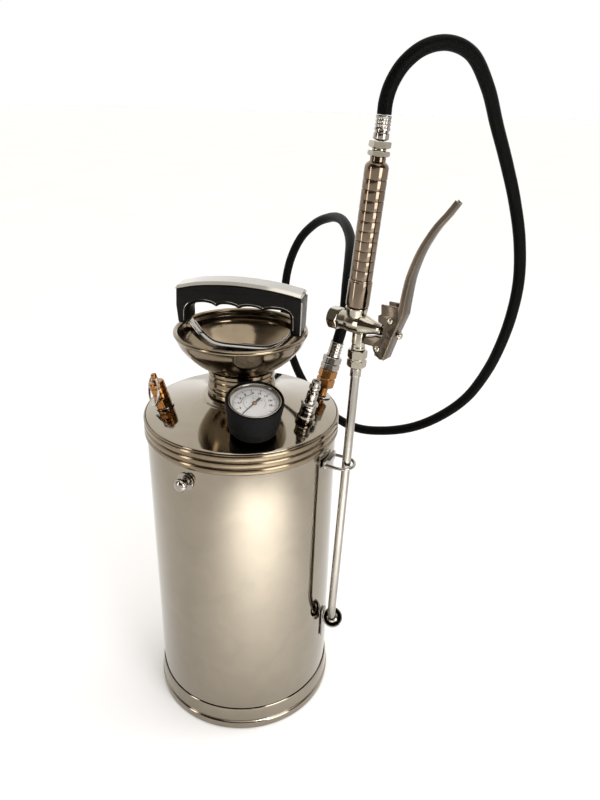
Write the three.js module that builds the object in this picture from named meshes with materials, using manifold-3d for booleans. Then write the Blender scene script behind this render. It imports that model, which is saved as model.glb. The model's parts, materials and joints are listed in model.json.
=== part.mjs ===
// A stainless compression sprayer: tank, hand pump, gauge, valves, hose and spray wand.
// Millimetres, +Z up. Every piece is placed about the tank's own axis, with the floor at
// z = 0; the last lines move the whole assembly so that the origin is under the middle
// of its outline. The side that faces -Y is the front.

import * as THREE from "three";
import { mergeVertices } from "three/addons/utils/BufferGeometryUtils.js";
import Module from "manifold-3d";

const wasm = await Module();
wasm.setup();

// ---------------------------------------------------------------- driving dimensions

const GAP = 0.3;                     // kept between pieces that touch
const DEGREE = Math.PI / 180;

const TANK_RADIUS = 90;
const TANK_WALL = 1.2;
const SHELL_LOW = 2.8;
const SHELL_HIGH = 319;

const LID_SLOPE = 15 * DEGREE;
const LID_EDGE_RADIUS = 88;
const LID_EDGE_HEIGHT = 327;
const LID_SHEET = 1.3;

const NECK_RADIUS = 30.5;
const NECK_BORE = 29.3;
const NECK_LOW = 334;
const NECK_HIGH = 369;
const SEAT_HEIGHT = 373;             // flat seat for the pump in the bottom of the bowl

const RIM_BEADS = 3;
const RIM_BEAD_HEIGHT = 6.5;
const RIM_LOW = 306.2;

const BARREL_RADIUS = 22;
const BARREL_BORE = 20.5;
const BARREL_LOW = 100;
const BARREL_HIGH = 351.7;
const ROD_RADIUS = 6;
const PLUNGER_HEIGHT = 128;          // where the rod's shoulder stands on the plunger

const HANDLE_TURN = -10 * DEGREE;
const HANDLE_DEPTH = 26;
const YOKE_DEPTH = 11;

const GAUGE_PLACE = { azimuth: -76 * DEGREE, radius: 62.5 };
const SAFETY_PLACE = { azimuth: -169.3 * DEGREE, radius: 71.6 };
const INLET_PLACE = { azimuth: -29.4 * DEGREE, radius: 68.3 };
const OUTLET_PLACE = { azimuth: 18.1 * DEGREE, radius: 79.2 };
const SHANK_RADIUS = 4.7;            // the fittings' threaded ends, through the lid
const SHANK_LENGTH = 7;

const POINTER_REST = 135 * DEGREE;   // from twelve o'clock back to the zero mark
const RING_RADIUS = 13.4;
const RING_WIRE = 0.9;
const RING_HEIGHT = 31;              // of the stem's cross hole, above the lid
const RING_LEAN = 22 * DEGREE;
const RING_AZIMUTH = -150 * DEGREE;  // where the ring leans to

const HOSE_RADIUS = 5.4;
const HOSE_SIDES = 8;
const HOSE_STEPS = 56;

const WAND_FOOT = [88.5, -53, 0.3];  // where the wand's axis meets the floor
const WAND_RISE = [0.0344, 0.0212, 0.9992];
const GUN_AZIMUTH = -36 * DEGREE;    // where the trigger points
const WAND_RADIUS = 4;
const WAND_BORE = 3;
const WAND_TOP = 405.6;
const BEND_START = 131.5;
const BEND_RADIUS = 35;
const BEND_ANGLE = 40 * DEGREE;
const BEND_AZIMUTH = 76 * DEGREE;
const TIP_LENGTH = 3;                // straight end of the bend, as far as the nozzle
const NOZZLE_RADIUS = 5.6;
const NOZZLE_LENGTH = 12;

const GRIP_TILT = 2.7 * DEGREE;
const GRIP_FOOT = [-4.8, 442];       // the grip's axis leaves the valve here
const GRIP_GROOVES = 11;
const GRIP_PITCH = 7.75;
const BARREL_AXIS = 428;             // height of the valve barrel along the wand
const PIVOT = [21.3, 413.6];
const LEVER_WIDTH = 14;
const LEVER_TIP_WIDTH = 6;
const LEVER_SHEET = 1.4;
const LEVER_FLANGE = 4.3;

const CUP_MOUTH = 5;                 // from the end of the bend to the cup's mouth
const CUP_RADIUS = 10;
const CUP_DEPTH = 12;
const LOOP_AZIMUTH = -25 * DEGREE;
const LOOP_HEIGHT = 294;
const LOOP_WIRE = 1.5;
const LOOP_HALF_SPACING = 11;
const LOOP_CENTRE = 105;             // of the loop's round end, from the tank's axis
const STUD_AZIMUTH = -117.8 * DEGREE;
const STUD_HEIGHT = 292.5;

const TANK_SIDES = 32;               // facets round the tank, and round smaller pieces
const WIDE_SIDES = 24;
const SIDES = 16;
const FINE_SIDES = 12;

// ---------------------------------------------------------------- finishes

const finish = (color, roughness, metalness) =>
  new THREE.MeshStandardMaterial({ color, roughness, metalness });

const SATIN_STEEL = finish(0xb6b0a2, 0.3, 1);
const DARK_STEEL = finish(0x8f8472, 0.25, 1);
const CHROME = finish(0xd2cfc8, 0.12, 1);
const BRASS = finish(0xc9893a, 0.3, 1);
const NICKEL = finish(0xb8b09a, 0.2, 1);
const DARK_NICKEL = finish(0x786a58, 0.22, 1);
const BRONZE = finish(0x6e5c4c, 0.35, 0.9);
const SPRING_STEEL = finish(0x9c9c9c, 0.35, 1);
const BLACK_PLASTIC = finish(0x17150f, 0.3, 0);
const BLACK_RUBBER = finish(0x131313, 0.6, 0);
const RED_RUBBER = finish(0x4a2a22, 0.7, 0);
const LEATHER = finish(0x6a4a30, 0.8, 0);
const WHITE_ENAMEL = finish(0xeceae4, 0.5, 0);
const BLACK_ENAMEL = finish(0x111111, 0.5, 0);
const CLEAR = finish(0xf4f8f8, 0.05, 0);

// ---------------------------------------------------------------- shapes

// One closed skin that faces out: shared corners, no slivers on an axis.
function welded(geometry) {
  geometry.deleteAttribute("normal");
  geometry.deleteAttribute("uv");
  const skin = mergeVertices(geometry, 1e-4);
  const { array } = skin.index;
  const place = skin.attributes.position;
  const corners = [];
  let volume = 0;
  const [a, b, c] = [new THREE.Vector3(), new THREE.Vector3(), new THREE.Vector3()];
  for (let i = 0; i < array.length; i += 3) {
    const [p, q, r] = [array[i], array[i + 1], array[i + 2]];
    if (p === q || q === r || r === p) continue;
    corners.push(p, q, r);
    a.fromBufferAttribute(place, p);
    b.fromBufferAttribute(place, q);
    c.fromBufferAttribute(place, r);
    volume += a.dot(b.cross(c));
  }
  skin.setIndex(volume < 0 ? corners.reverse() : corners);
  return skin;
}

// A turned piece about Z. The outline of [radius, height] points closes on itself,
// or starts and ends on the axis.
function turned(outline, sides = SIDES) {
  const points = outline.map(([radius, height]) => new THREE.Vector2(radius, height));
  if (outline[0][0] > 0) points.push(points[0].clone());
  return welded(new THREE.LatheGeometry(points, sides).rotateX(Math.PI / 2));
}

const rod = (radius, low, high, sides = FINE_SIDES) =>
  turned([[0, low], [radius, low], [radius, high], [0, high]], sides);

const pipe = (radius, bore, low, high, sides = SIDES) =>
  turned([[bore, low], [radius, low], [radius, high], [bore, high]], sides);

// A hexagonal prism about Z.
function hexagon(corner, low, high) {
  const height = high - low;
  const block = new THREE.CylinderGeometry(corner, corner, height, 6).rotateX(Math.PI / 2);
  return welded(block.translate(0, 0, low + height / 2));
}

const flat = (outline) => new THREE.Shape(outline.map(([x, y]) => new THREE.Vector2(x, y)));

// A flat plate: an outline of [x, z] points, and a width along Y about the middle.
function slab(outline, width) {
  const block = new THREE.ExtrudeGeometry(flat(outline), { depth: width, bevelEnabled: false });
  return welded(block.rotateX(Math.PI / 2).translate(0, width / 2, 0));
}

function box([sizeX, sizeY, sizeZ], [x, y, z]) {
  return welded(new THREE.BoxGeometry(sizeX, sizeY, sizeZ).translate(x, y, z));
}

function ringPoints(radius, sides) {
  return Array.from({ length: sides }, (_, i) => {
    const angle = (2 * Math.PI * i) / sides;
    return [radius * Math.cos(angle), radius * Math.sin(angle)];
  });
}

// A round bar, or a pipe where there is a bore, along a curve.
function bar(curve, radius, sides, steps, bore = 0) {
  const section = flat(ringPoints(radius, sides));
  if (bore > 0) section.holes.push(new THREE.Path(flat(ringPoints(bore, sides)).getPoints()));
  return welded(new THREE.ExtrudeGeometry(section, { extrudePath: curve, steps }));
}

const smooth = (points) =>
  new THREE.CatmullRomCurve3(points.map((point) => new THREE.Vector3(...point)), false, "centripetal");

// A close-wound or open spring about Z.
function spring(radius, wire, low, high, turns) {
  const stepsPerTurn = 7;
  const count = turns * stepsPerTurn;
  const points = Array.from({ length: count + 1 }, (_, i) => {
    const angle = (2 * Math.PI * i) / stepsPerTurn;
    const height = low + wire + ((high - low - 2 * wire) * i) / count;
    return [radius * Math.cos(angle), radius * Math.sin(angle), height];
  });
  return bar(smooth(points), wire, 5, count);
}

// ---------------------------------------------------------------- joining and cutting

function toSolid(geometry) {
  const vertProperties = Float32Array.from(geometry.attributes.position.array);
  const triVerts = Uint32Array.from(geometry.index.array);
  return new wasm.Manifold(new wasm.Mesh({ numProp: 3, vertProperties, triVerts }));
}

function toGeometry(solid) {
  const { vertProperties, triVerts } = solid.getMesh();
  const geometry = new THREE.BufferGeometry();
  geometry.setAttribute("position", new THREE.BufferAttribute(vertProperties, 3));
  geometry.setIndex(new THREE.BufferAttribute(triVerts, 1));
  return geometry;
}

const joined = (...pieces) => toGeometry(pieces.map(toSolid).reduce((all, next) => all.add(next)));

const cut = (piece, ...tools) =>
  toGeometry(tools.map(toSolid).reduce((rest, tool) => rest.subtract(tool), toSolid(piece)));

const shared = (piece, other) => toGeometry(toSolid(piece).intersect(toSolid(other)));

// ---------------------------------------------------------------- places

function part(name, geometry, material) {
  const mesh = new THREE.Mesh(geometry, material);
  mesh.name = name;
  return mesh;
}

function group(...children) {
  const holder = new THREE.Group();
  if (children.length > 0) holder.add(...children);
  return holder;
}

const lidHeight = (radius) => LID_EDGE_HEIGHT + (LID_EDGE_RADIUS - radius) * Math.tan(LID_SLOPE);

// A frame on the lid: Z stands square to the cone, X runs down the slope.
function onLid({ azimuth, radius }, ...children) {
  const holder = group(...children);
  const [x, y] = [radius * Math.cos(azimuth), radius * Math.sin(azimuth)];
  holder.position.set(x, y, lidHeight(radius));
  holder.rotation.set(0, LID_SLOPE, azimuth, "ZYX");
  return holder;
}

function placed(geometry, holder) {
  holder.updateMatrix();
  return geometry.clone().applyMatrix4(holder.matrix);
}

// The wand's frame: Z up the wand, X towards the trigger, Y away from the front.
const WAND_UP = new THREE.Vector3(...WAND_RISE).normalize();
const WAND_ACROSS = new THREE.Vector3(-Math.sin(GUN_AZIMUTH), Math.cos(GUN_AZIMUTH), 0);
const WAND_OUT = new THREE.Vector3().crossVectors(WAND_ACROSS, WAND_UP).normalize();
WAND_ACROSS.crossVectors(WAND_UP, WAND_OUT);

function onWand(...children) {
  const holder = group(...children);
  const turn = new THREE.Matrix4().makeBasis(WAND_OUT, WAND_ACROSS, WAND_UP);
  holder.quaternion.setFromRotationMatrix(turn);
  holder.position.set(...WAND_FOOT);
  return holder;
}

// ---------------------------------------------------------------- tank

function rimOutline() {
  const inner = TANK_RADIUS + GAP;
  const crest = 1.9;
  const stepsPerBead = 3;
  const outline = [[inner, RIM_LOW]];
  for (let bead = 0; bead < RIM_BEADS; bead += 1) {
    const middle = RIM_LOW + (bead + 0.5) * RIM_BEAD_HEIGHT;
    for (let step = 0; step <= stepsPerBead; step += 1) {
      const angle = (step / stepsPerBead - 0.5) * 0.94 * Math.PI;
      const radius = inner + 0.5 + (crest - 0.5) * Math.cos(angle);
      outline.push([radius, middle + 0.49 * RIM_BEAD_HEIGHT * Math.sin(angle)]);
    }
  }
  outline.push([inner, RIM_LOW + RIM_BEADS * RIM_BEAD_HEIGHT]);
  return outline;
}

function lidGeometry() {
  const rise = (radius) => lidHeight(radius);
  const outline = [
    [NECK_RADIUS + GAP, rise(33) - 1.1], [NECK_RADIUS + GAP, rise(33) + 1.4],
    [33.5, rise(33.5) + 1.8], [37.2, rise(37.2) + 1.6], [38.6, rise(38.6)],
    [LID_EDGE_RADIUS, LID_EDGE_HEIGHT], [89.5, 326.4], [TANK_RADIUS, 325.4],
    [TANK_RADIUS, SHELL_HIGH + GAP], [TANK_RADIUS - TANK_WALL, SHELL_HIGH + GAP],
    [TANK_RADIUS - TANK_WALL, 325], [87.6, LID_EDGE_HEIGHT - LID_SHEET],
    [38.6, rise(38.6) - LID_SHEET],
  ];
  const hole = rod(SHANK_RADIUS + GAP, -12, 12);
  const places = [GAUGE_PLACE, SAFETY_PLACE, INLET_PLACE, OUTLET_PLACE];
  return cut(turned(outline, TANK_SIDES), ...places.map((place) => placed(hole, onLid(place))));
}

function bowlOutline() {
  const beadRadius = 2.2;
  const bead = { radius: 58.6, height: 403.7 };
  const outline = [
    [NECK_BORE, NECK_HIGH + GAP], [NECK_RADIUS, NECK_HIGH + GAP], [32, 370.8],
    [41, 376.5], [50, 385], [56, 393], [59, 400],
  ];
  for (let angle = -40; angle <= 200; angle += 60) {
    const turn = angle * DEGREE;
    const radius = bead.radius + beadRadius * Math.cos(turn);
    outline.push([radius, bead.height + beadRadius * Math.sin(turn)]);
  }
  outline.push([54.9, 393.6], [49, 386], [40.3, 378], [34.2, SEAT_HEIGHT], [NECK_BORE, SEAT_HEIGHT]);
  return outline;
}

function tank() {
  const shell = pipe(TANK_RADIUS, TANK_RADIUS - TANK_WALL, SHELL_LOW, SHELL_HIGH, TANK_SIDES);
  const bottomEdge = TANK_RADIUS - TANK_WALL - GAP;
  const bottom = turned([
    [0, 20], [45, 18.4], [76, 12], [bottomEdge, 10], [bottomEdge, 5.5], [87.3, 5.5],
    [87.3, 8.8], [75.7, 10.8], [45, 17.1], [0, 18.7],
  ], TANK_SIDES);
  const foot = turned([
    [86.8, 0], [92.5, 0], [93.2, 1.2], [93.2, 7.2], [92.4, 8.6], [91.5, 9.2], [91.5, 10.2],
    [92.4, 11], [91.5, 22.5], [91, 25.4], [TANK_RADIUS + GAP, 26.4],
    [TANK_RADIUS + GAP, SHELL_LOW - GAP], [86.8, SHELL_LOW - GAP],
  ], TANK_SIDES);
  const neck = turned([
    [NECK_BORE, NECK_LOW], [NECK_RADIUS, NECK_LOW], [NECK_RADIUS, 345], [31.6, 346.2],
    [31.6, 349], [NECK_RADIUS, 350.2], [31.6, 351.4], [31.6, 354], [NECK_RADIUS, 355.2],
    [NECK_RADIUS, 365], [31.2, 366], [31.2, NECK_HIGH], [NECK_BORE, NECK_HIGH],
  ], WIDE_SIDES);
  return group(
    part("tank_shell", shell, SATIN_STEEL),
    part("tank_bottom", bottom, SATIN_STEEL),
    part("foot_ring", foot, SATIN_STEEL),
    part("rim_ring", turned(rimOutline(), TANK_SIDES), DARK_STEEL),
    part("tank_lid", lidGeometry(), SATIN_STEEL),
    part("tank_neck", neck, DARK_STEEL),
    part("funnel_bowl", turned(bowlOutline(), WIDE_SIDES), DARK_STEEL),
  );
}

// ---------------------------------------------------------------- pump

function pump() {
  const holeRadius = ROD_RADIUS + GAP;
  const flangeLow = SEAT_HEIGHT + 2 + GAP;
  const cap = turned([
    [holeRadius, BARREL_HIGH + GAP], [NECK_BORE - GAP, BARREL_HIGH + GAP],
    [NECK_BORE - GAP, flangeLow], [33.8, flangeLow], [33.8, flangeLow + 3.1],
    [31, flangeLow + 3.7], [17, flangeLow + 4.3], [15, flangeLow + 4.7], [holeRadius, flangeLow + 4.7],
  ], WIDE_SIDES);
  const gasket = pipe(33.4, NECK_BORE, SEAT_HEIGHT + GAP, SEAT_HEIGHT + 2, WIDE_SIDES);
  const seatHigh = BARREL_LOW - GAP;
  const checkSeat = turned([
    [5, seatHigh], [BARREL_RADIUS, seatHigh], [BARREL_RADIUS, seatHigh - 9.7],
    [16.5, seatHigh - 9.7], [16.5, seatHigh - 17], [6, seatHigh - 17], [6, seatHigh - 15.5],
    [14, seatHigh - 15.5], [14, seatHigh - 9.7], [5, seatHigh - 9.7],
  ]);
  const barrel = pipe(BARREL_RADIUS, BARREL_BORE, BARREL_LOW, BARREL_HIGH, WIDE_SIDES);
  const disc = rod(12.5, seatHigh - 12, seatHigh - 10, SIDES);
  return group(
    part("pump_cap", cap, BLACK_PLASTIC),
    part("pump_gasket", gasket, BLACK_RUBBER),
    part("pump_barrel", barrel, SATIN_STEEL),
    part("pump_check_seat", checkSeat, BRASS),
    part("pump_check_disc", disc, RED_RUBBER),
  );
}

function plunger() {
  const spigot = 3;
  const low = PLUNGER_HEIGHT;
  const rodLine = turned([
    [0, low - 15], [spigot, low - 15], [spigot, low], [ROD_RADIUS, low],
    [ROD_RADIUS, 384.3], [0, 384.3],
  ]);
  const cup = turned([
    [spigot + GAP, low - 4], [17.5, low - 4], [18.7, low - 5.5], [18.7, low - 12],
    [20.2, low - 12], [20.2, low - 3], [18.6, low - GAP], [spigot + GAP, low - GAP],
  ], WIDE_SIDES);
  const nutBlank = joined(rod(12, low - 6, low - 4 - GAP, SIDES), hexagon(7.5, low - 11, low - 5.9));
  const nut = cut(nutBlank, rod(spigot + GAP, low - 14, low));
  const hub = turned([
    [ROD_RADIUS + GAP, 380.3], [9, 380.3], [10, 381.5], [10, 383.3], [9, 384.3],
    [ROD_RADIUS + GAP, 384.3],
  ]);
  return group(
    part("pump_rod", rodLine, CHROME),
    part("plunger_cup", cup, LEATHER),
    part("plunger_nut", nut, BRASS),
    part("handle_hub", hub, CHROME),
  );
}

// The D-shaped handle stands in a plane through the tank's axis.
function handle() {
  const topEdge = [
    [-55, 444], [-37, 448.1], [-19, 449.9], [0, 450.5], [26, 448.8], [45, 446], [56, 443.6],
  ];
  const trimHeight = 2.2;
  const lower = topEdge.map(([x, z]) => [x, z - trimHeight]).reverse();
  const trim = [...topEdge, ...lower];
  const scallops = [
    [47.2, 421], [46, 425.4], [41, 428.2], [33.4, 429], [26.6, 428.4], [23.1, 426.8],
    [19, 428.8], [11.1, 429.8], [5, 429], [1.1, 427.2], [-3, 429.2], [-10.6, 430.2],
    [-16, 429.3], [-19.3, 427.4], [-24, 429.6], [-31.6, 430.4], [-39, 429], [-44, 425.6], [-46.4, 420],
  ];
  const gripTop = topEdge.map(([x, z]) => [x, z - trimHeight - GAP]);
  const grip = [
    ...gripTop, [56.6, 428], [56.6, 406.6], [47.6, 406.6], ...scallops,
    [-47, 410.4], [-54.4, 410.4], [-55.8, 428],
  ];
  const yoke = [
    [-51.6, 410.1], [-49.6, 404.5], [-45, 398.5], [-36.5, 391], [-27.5, 386.6], [-16, 385],
    [-3, 384.6], [10, 384.8], [23, 386.6], [32, 389.4], [41, 395], [46.8, 400.6], [51.4, 406.3],
    [46.2, 406.3], [43.2, 402.6], [37.4, 396], [28.9, 390.6], [20, 388.4], [7.3, 387.9],
    [-6, 387.9], [-18.9, 388.2], [-27.7, 390.2], [-36.3, 396.5], [-41.8, 403], [-46.8, 410.1],
  ];
  const holder = group(
    part("handle_trim", slab(trim, HANDLE_DEPTH), CHROME),
    part("handle_grip", slab(grip, HANDLE_DEPTH), BLACK_PLASTIC),
    part("handle_yoke", slab(yoke, YOKE_DEPTH), CHROME),
  );
  holder.rotation.z = HANDLE_TURN;
  return holder;
}

// ---------------------------------------------------------------- gauge

function gauge() {
  const stem = joined(
    rod(SHANK_RADIUS, -SHANK_LENGTH, 4),
    hexagon(8, GAP + 0.2, 3.6),
    rod(4.6, 3, 9),
  );
  const boot = turned([
    [9, 4], [20, 4], [21.5, 5.5], [24.8, 31], [24.8, 35.2], [23.9, 36.2], [23.2, 35.4],
    [23.2, 31], [19.9, 8], [19.6, 5.7], [9, 5.7],
  ], WIDE_SIDES);
  const dialLow = 30.3;
  const can = turned([
    [4.9, 6], [19.2, 6], [19.2, 28.6], [21.8, 28.6], [21.8, 30], [17.8, 30], [17.8, 7.4], [4.9, 7.4],
  ], WIDE_SIDES);
  const dial = pipe(21.8, 1.2, dialLow, dialLow + 0.8, WIDE_SIDES);
  const lens = rod(21.8, 32.9, 34, WIDE_SIDES);
  const bezel = turned([
    [22.1, dialLow], [22.9, dialLow], [22.9, 34.5], [22.3, 35.3], [21.2, 35.3], [21.2, 34.3],
    [22.1, 34.3],
  ], WIDE_SIDES);
  const needle = new THREE.ExtrudeGeometry(
    flat([[16, 0.15], [1.8, 0.9], [-7, 1.3], [-7.6, 0], [-7, -1.3], [1.8, -0.9], [16, -0.15]]),
    { depth: 0.5, bevelEnabled: false },
  );
  const needleLow = dialLow + 1.3;
  const pointer = joined(
    welded(needle.translate(0, 0, needleLow)),
    rod(2.1, needleLow - 0.2, needleLow + 0.9),
    rod(0.8, dialLow - 2, needleLow + 0.6, 10),
  );
  const pointerMesh = part("gauge_pointer", pointer, BLACK_ENAMEL);
  pointerMesh.rotation.z = Math.PI + POINTER_REST;
  return onLid(
    GAUGE_PLACE,
    part("gauge_stem", stem, BRASS),
    part("gauge_boot", boot, BLACK_RUBBER),
    part("gauge_case", can, CHROME),
    part("gauge_dial", dial, WHITE_ENAMEL),
    part("gauge_bezel", bezel, CHROME),
    part("gauge_lens", lens, CLEAR),
    pointerMesh,
  );
}

// ---------------------------------------------------------------- fittings on the lid

function safetyValve() {
  const seat = 5;
  const chamber = 24.4;
  const top = 27;
  const blank = joined(
    rod(SHANK_RADIUS, -SHANK_LENGTH, 2), rod(8.3, GAP, 1.4, SIDES), hexagon(8.25, 1.3, 11),
    rod(7.3, 10.9, 21.2, SIDES), rod(6.8, 21.1, 22.1, SIDES), rod(7.3, 22, top, SIDES),
  );
  const body = cut(
    blank, rod(1.8, -SHANK_LENGTH - 1, seat + 1), rod(5, seat, chamber), rod(2.3, chamber - 1, top + 1),
  );
  const stemBlank = turned([
    [0, seat + GAP], [4.6, seat + GAP], [4.6, seat + 2], [2, seat + 2], [2, 28], [2.7, 28.8],
    [2.7, 34], [2, 34.8], [0, 34.8],
  ], FINE_SIDES);
  const crossHole = placed(rod(1.35, -5, 5, 12).rotateX(Math.PI / 2), ringTurn(RING_HEIGHT));
  const stem = cut(stemBlank, crossHole);
  const ring = new THREE.TorusGeometry(RING_RADIUS, RING_WIRE, 6, WIDE_SIDES);
  ring.rotateY(Math.PI / 2).translate(0, 0, -RING_RADIUS).rotateY(-RING_LEAN);
  const ringHolder = ringTurn(RING_HEIGHT);
  ringHolder.add(part("safety_ring", welded(ring), SPRING_STEEL));
  return onLid(
    SAFETY_PLACE,
    part("safety_body", body, BRASS),
    part("safety_stem", stem, BRASS),
    part("safety_spring", spring(3.4, 0.5, seat + 2 + GAP, chamber - GAP, 6), SPRING_STEEL),
    ringHolder,
  );
}

// Turned about the valve's axis, so that +X of the holder is where the ring leans.
function ringTurn(height) {
  const holder = group();
  holder.position.z = height;
  holder.rotation.z = RING_AZIMUTH - SAFETY_PLACE.azimuth;
  return holder;
}

function airInlet() {
  const bore = 2.4;
  const blank = joined(
    rod(SHANK_RADIUS, -SHANK_LENGTH, 2), rod(6, GAP, 2.2, SIDES),
    rod(8.25, 2, 5, SIDES), rod(7, 4.9, 16.5, SIDES),
  );
  const base = cut(blank, rod(bore, -SHANK_LENGTH - 1, 17.5));
  const tipBore = 1.3;
  const plug = turned([
    [bore, 16.8], [7.5, 16.8], [7.5, 19.3], [5, 19.6], [5, 30], [3.9, 31.5], [3.9, 33],
    [5, 34.4], [5, 37], [4, 37.8], [4, 42], [tipBore + 0.7, 42], [tipBore + 0.7, 40],
    [tipBore, 39], [tipBore, 36], [bore, 35],
  ]);
  const poppet = turned([
    [0, 28], [2, 28], [2, 34.2], [1, 34.8], [1, 41.4], [0, 41.4],
  ], FINE_SIDES);
  return onLid(
    INLET_PLACE,
    part("inlet_base", base, CHROME),
    part("inlet_plug", plug, CHROME),
    part("inlet_poppet", poppet, BRASS),
  );
}

const NUT_HIGH = 42;                 // top of the outlet's two nuts
const FERRULE_HIGH = 57;

function outlet() {
  const blank = joined(
    rod(SHANK_RADIUS, -SHANK_LENGTH, 2), rod(5.75, GAP, 1.1, SIDES),
    rod(4.75, 1, 10.6, SIDES), hexagon(9.2, 10.5, 28.5),
  );
  const bore = 2.2;
  const fitting = cut(blank, rod(bore, -SHANK_LENGTH - 1, 30));
  const nut = (low, high) => cut(hexagon(9.3, low, high), rod(3, low - 1, high + 1));
  return onLid(
    OUTLET_PLACE,
    part("outlet_fitting", fitting, BRASS),
    part("outlet_nut_lower", nut(28.5 + GAP, 35), CHROME),
    part("outlet_nut_upper", nut(35 + GAP, NUT_HIGH), CHROME),
    part("outlet_ferrule", pipe(6.5, bore, NUT_HIGH + GAP, FERRULE_HIGH), CHROME),
  );
}

// The dip tube leaves the outlet's shank and turns straight down to the tank's bottom.
function dipTube() {
  const place = onLid(OUTLET_PLACE);
  place.updateMatrix();
  const start = new THREE.Vector3(0, 0, -SHANK_LENGTH - GAP).applyMatrix4(place.matrix);
  const along = new THREE.Vector3(0, 0, -8).transformDirection(place.matrix).multiplyScalar(-1);
  const knee = start.clone().addScaledVector(along, -9);
  const bend = new THREE.QuadraticBezierCurve3(start, knee, new THREE.Vector3(knee.x, knee.y, knee.z - 9));
  const low = 26;
  const straight = pipe(3.5, 2.4, low, knee.z - 8.8, 12).translate(knee.x, knee.y, 0);
  const tube = joined(bar(bend, 3.5, 12, 4, 2.4), straight);
  const strainer = turned([
    [3.8, 34], [6.5, 33], [6.5, 16.5], [0, 16.5], [0, 18], [5.3, 18], [5.3, 31], [3.8, 31.6],
  ].reverse(), FINE_SIDES).translate(knee.x, knee.y, 0);
  return group(
    part("dip_tube", tube, CHROME),
    part("dip_strainer", strainer, BLACK_PLASTIC),
  );
}

// ---------------------------------------------------------------- hose

const HOSE_ROUTE = [
  [89.4, 29.2, 384.7], [91.8, 30, 394.4], [94.8, 35, 410], [97, 54, 433], [100, 84, 451],
  [102, 119, 462], [99, 158, 469], [93, 199, 469], [83, 237, 462], [67.5, 267, 449],
  [49.5, 289, 425], [36, 302, 390], [30.5, 306, 352], [31.5, 296, 314], [39.5, 275, 280],
  [54, 250, 252.5], [73, 223, 233], [98, 196, 221], [127, 169, 218], [159, 148, 226.5],
  [190, 128, 243.5], [216, 112, 267], [237, 95, 298], [249, 78, 335], [254, 62, 370],
  [257, 51, 407], [256, 43, 445], [249, 38, 483], [237.5, 33, 518], [223, 24, 550],
  [207, 11, 580], [191.6, -5.2, 607.8], [172.7, -21.3, 629.5], [153.1, -31.6, 635.6],
  [135.3, -38.3, 631.8], [121.8, -41.7, 621.3], [113.9, -42.5, 608.1], [110.9, -41.8, 596.5],
  [110.4, -41.8, 587.9],
];

function hose() {
  return part("hose", bar(smooth(HOSE_ROUTE), HOSE_RADIUS, HOSE_SIDES, HOSE_STEPS), BLACK_RUBBER);
}

// ---------------------------------------------------------------- spray gun

function gripOutline() {
  const bore = 3;
  const outline = [
    [bore, GAP], [8.9, GAP], [9.75, 1.4], [9.75, 21.6], [9.25, 22.2],
  ];
  for (let groove = 0; groove < GRIP_GROOVES; groove += 1) {
    const low = 23.2 + groove * GRIP_PITCH;
    outline.push([9.25, low], [8.75, low + 0.35], [9.25, low + 0.7]);
  }
  outline.push([9.25, 110.2], [8.2, 112.2], [6, 114], [6, 117.2], [bore, 117.2]);
  return outline;
}

function gunGrip() {
  const bore = 3;
  const lowerNut = cut(
    joined(hexagon(8.5, 117.5, 121.6), rod(5.4, 121.5, 123)), rod(bore, 116, 124),
  );
  const upperNut = cut(hexagon(8.5, 123.3, 128.4), rod(bore, 122, 130));
  const ferrule = turned([
    [bore - 1, 128.7], [4.6, 128.7], [6, 129.6], [6, 134], [5.5, 135], [6, 136], [6, 145.9],
    [bore - 1, 145.9],
  ], FINE_SIDES);
  const holder = group(
    part("gun_grip", turned(gripOutline(), FINE_SIDES), DARK_NICKEL),
    part("gun_nut_lower", lowerNut, NICKEL),
    part("gun_nut_upper", upperNut, NICKEL),
    part("gun_ferrule", ferrule, CHROME),
  );
  holder.position.set(GRIP_FOOT[0], 0, GRIP_FOOT[1]);
  holder.rotation.y = GRIP_TILT;
  return holder;
}

// Turned about the valve barrel's axis, which runs along X at BARREL_AXIS.
const alongBarrel = (geometry) => geometry.rotateY(Math.PI / 2).translate(0, 0, BARREL_AXIS);

const HEAD_LOW = -6;                 // the plunger's head, where the spring pushes
const CAP_EDGE = -19.5;

function valve() {
  const barrel = turned([
    [0, CAP_EDGE + GAP], [8, CAP_EDGE + GAP], [8, -12], [8.85, -8], [8.85, 2], [7.6, 6.5],
    [5.3, 13.5], [4.7, 21.5], [0, 21.5],
  ]);
  const boss = rod(WAND_RADIUS + 2, 406, 424, SIDES);
  const link = turned([[0, 430], [8.6, 430], [8.8, 436], [9.5, 441.7], [0, 441.7]]);
  const blank = joined(alongBarrel(barrel), boss, link.translate(GRIP_FOOT[0], 0, 0));
  const bore = alongBarrel(rod(3.3, CAP_EDGE - 1, 9));
  const stemHole = alongBarrel(rod(1.9, 8, 22.5));
  const wandHole = rod(2.2, 405, BARREL_AXIS);
  const gripHole = rod(2.2, BARREL_AXIS, 443).translate(GRIP_FOOT[0], 0, 0);
  const cap = joined(hexagon(9.85, -29, CAP_EDGE), rod(3, -20, -16.4));
  const piston = turned([
    [0, HEAD_LOW], [3, HEAD_LOW], [3, -2], [1.6, -1.4], [1.6, 23.2], [1, 24.2], [0, 24.2],
  ], FINE_SIDES);
  return group(
    part("valve_body", cut(blank, bore, stemHole, wandHole, gripHole), NICKEL),
    part("valve_cap", alongBarrel(cap), NICKEL),
    part("valve_plunger", alongBarrel(piston), BRASS),
    part("valve_spring", alongBarrel(spring(2.3, 0.4, -16.4 + GAP, HEAD_LOW - GAP, 5)), SPRING_STEEL),
  );
}

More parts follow.
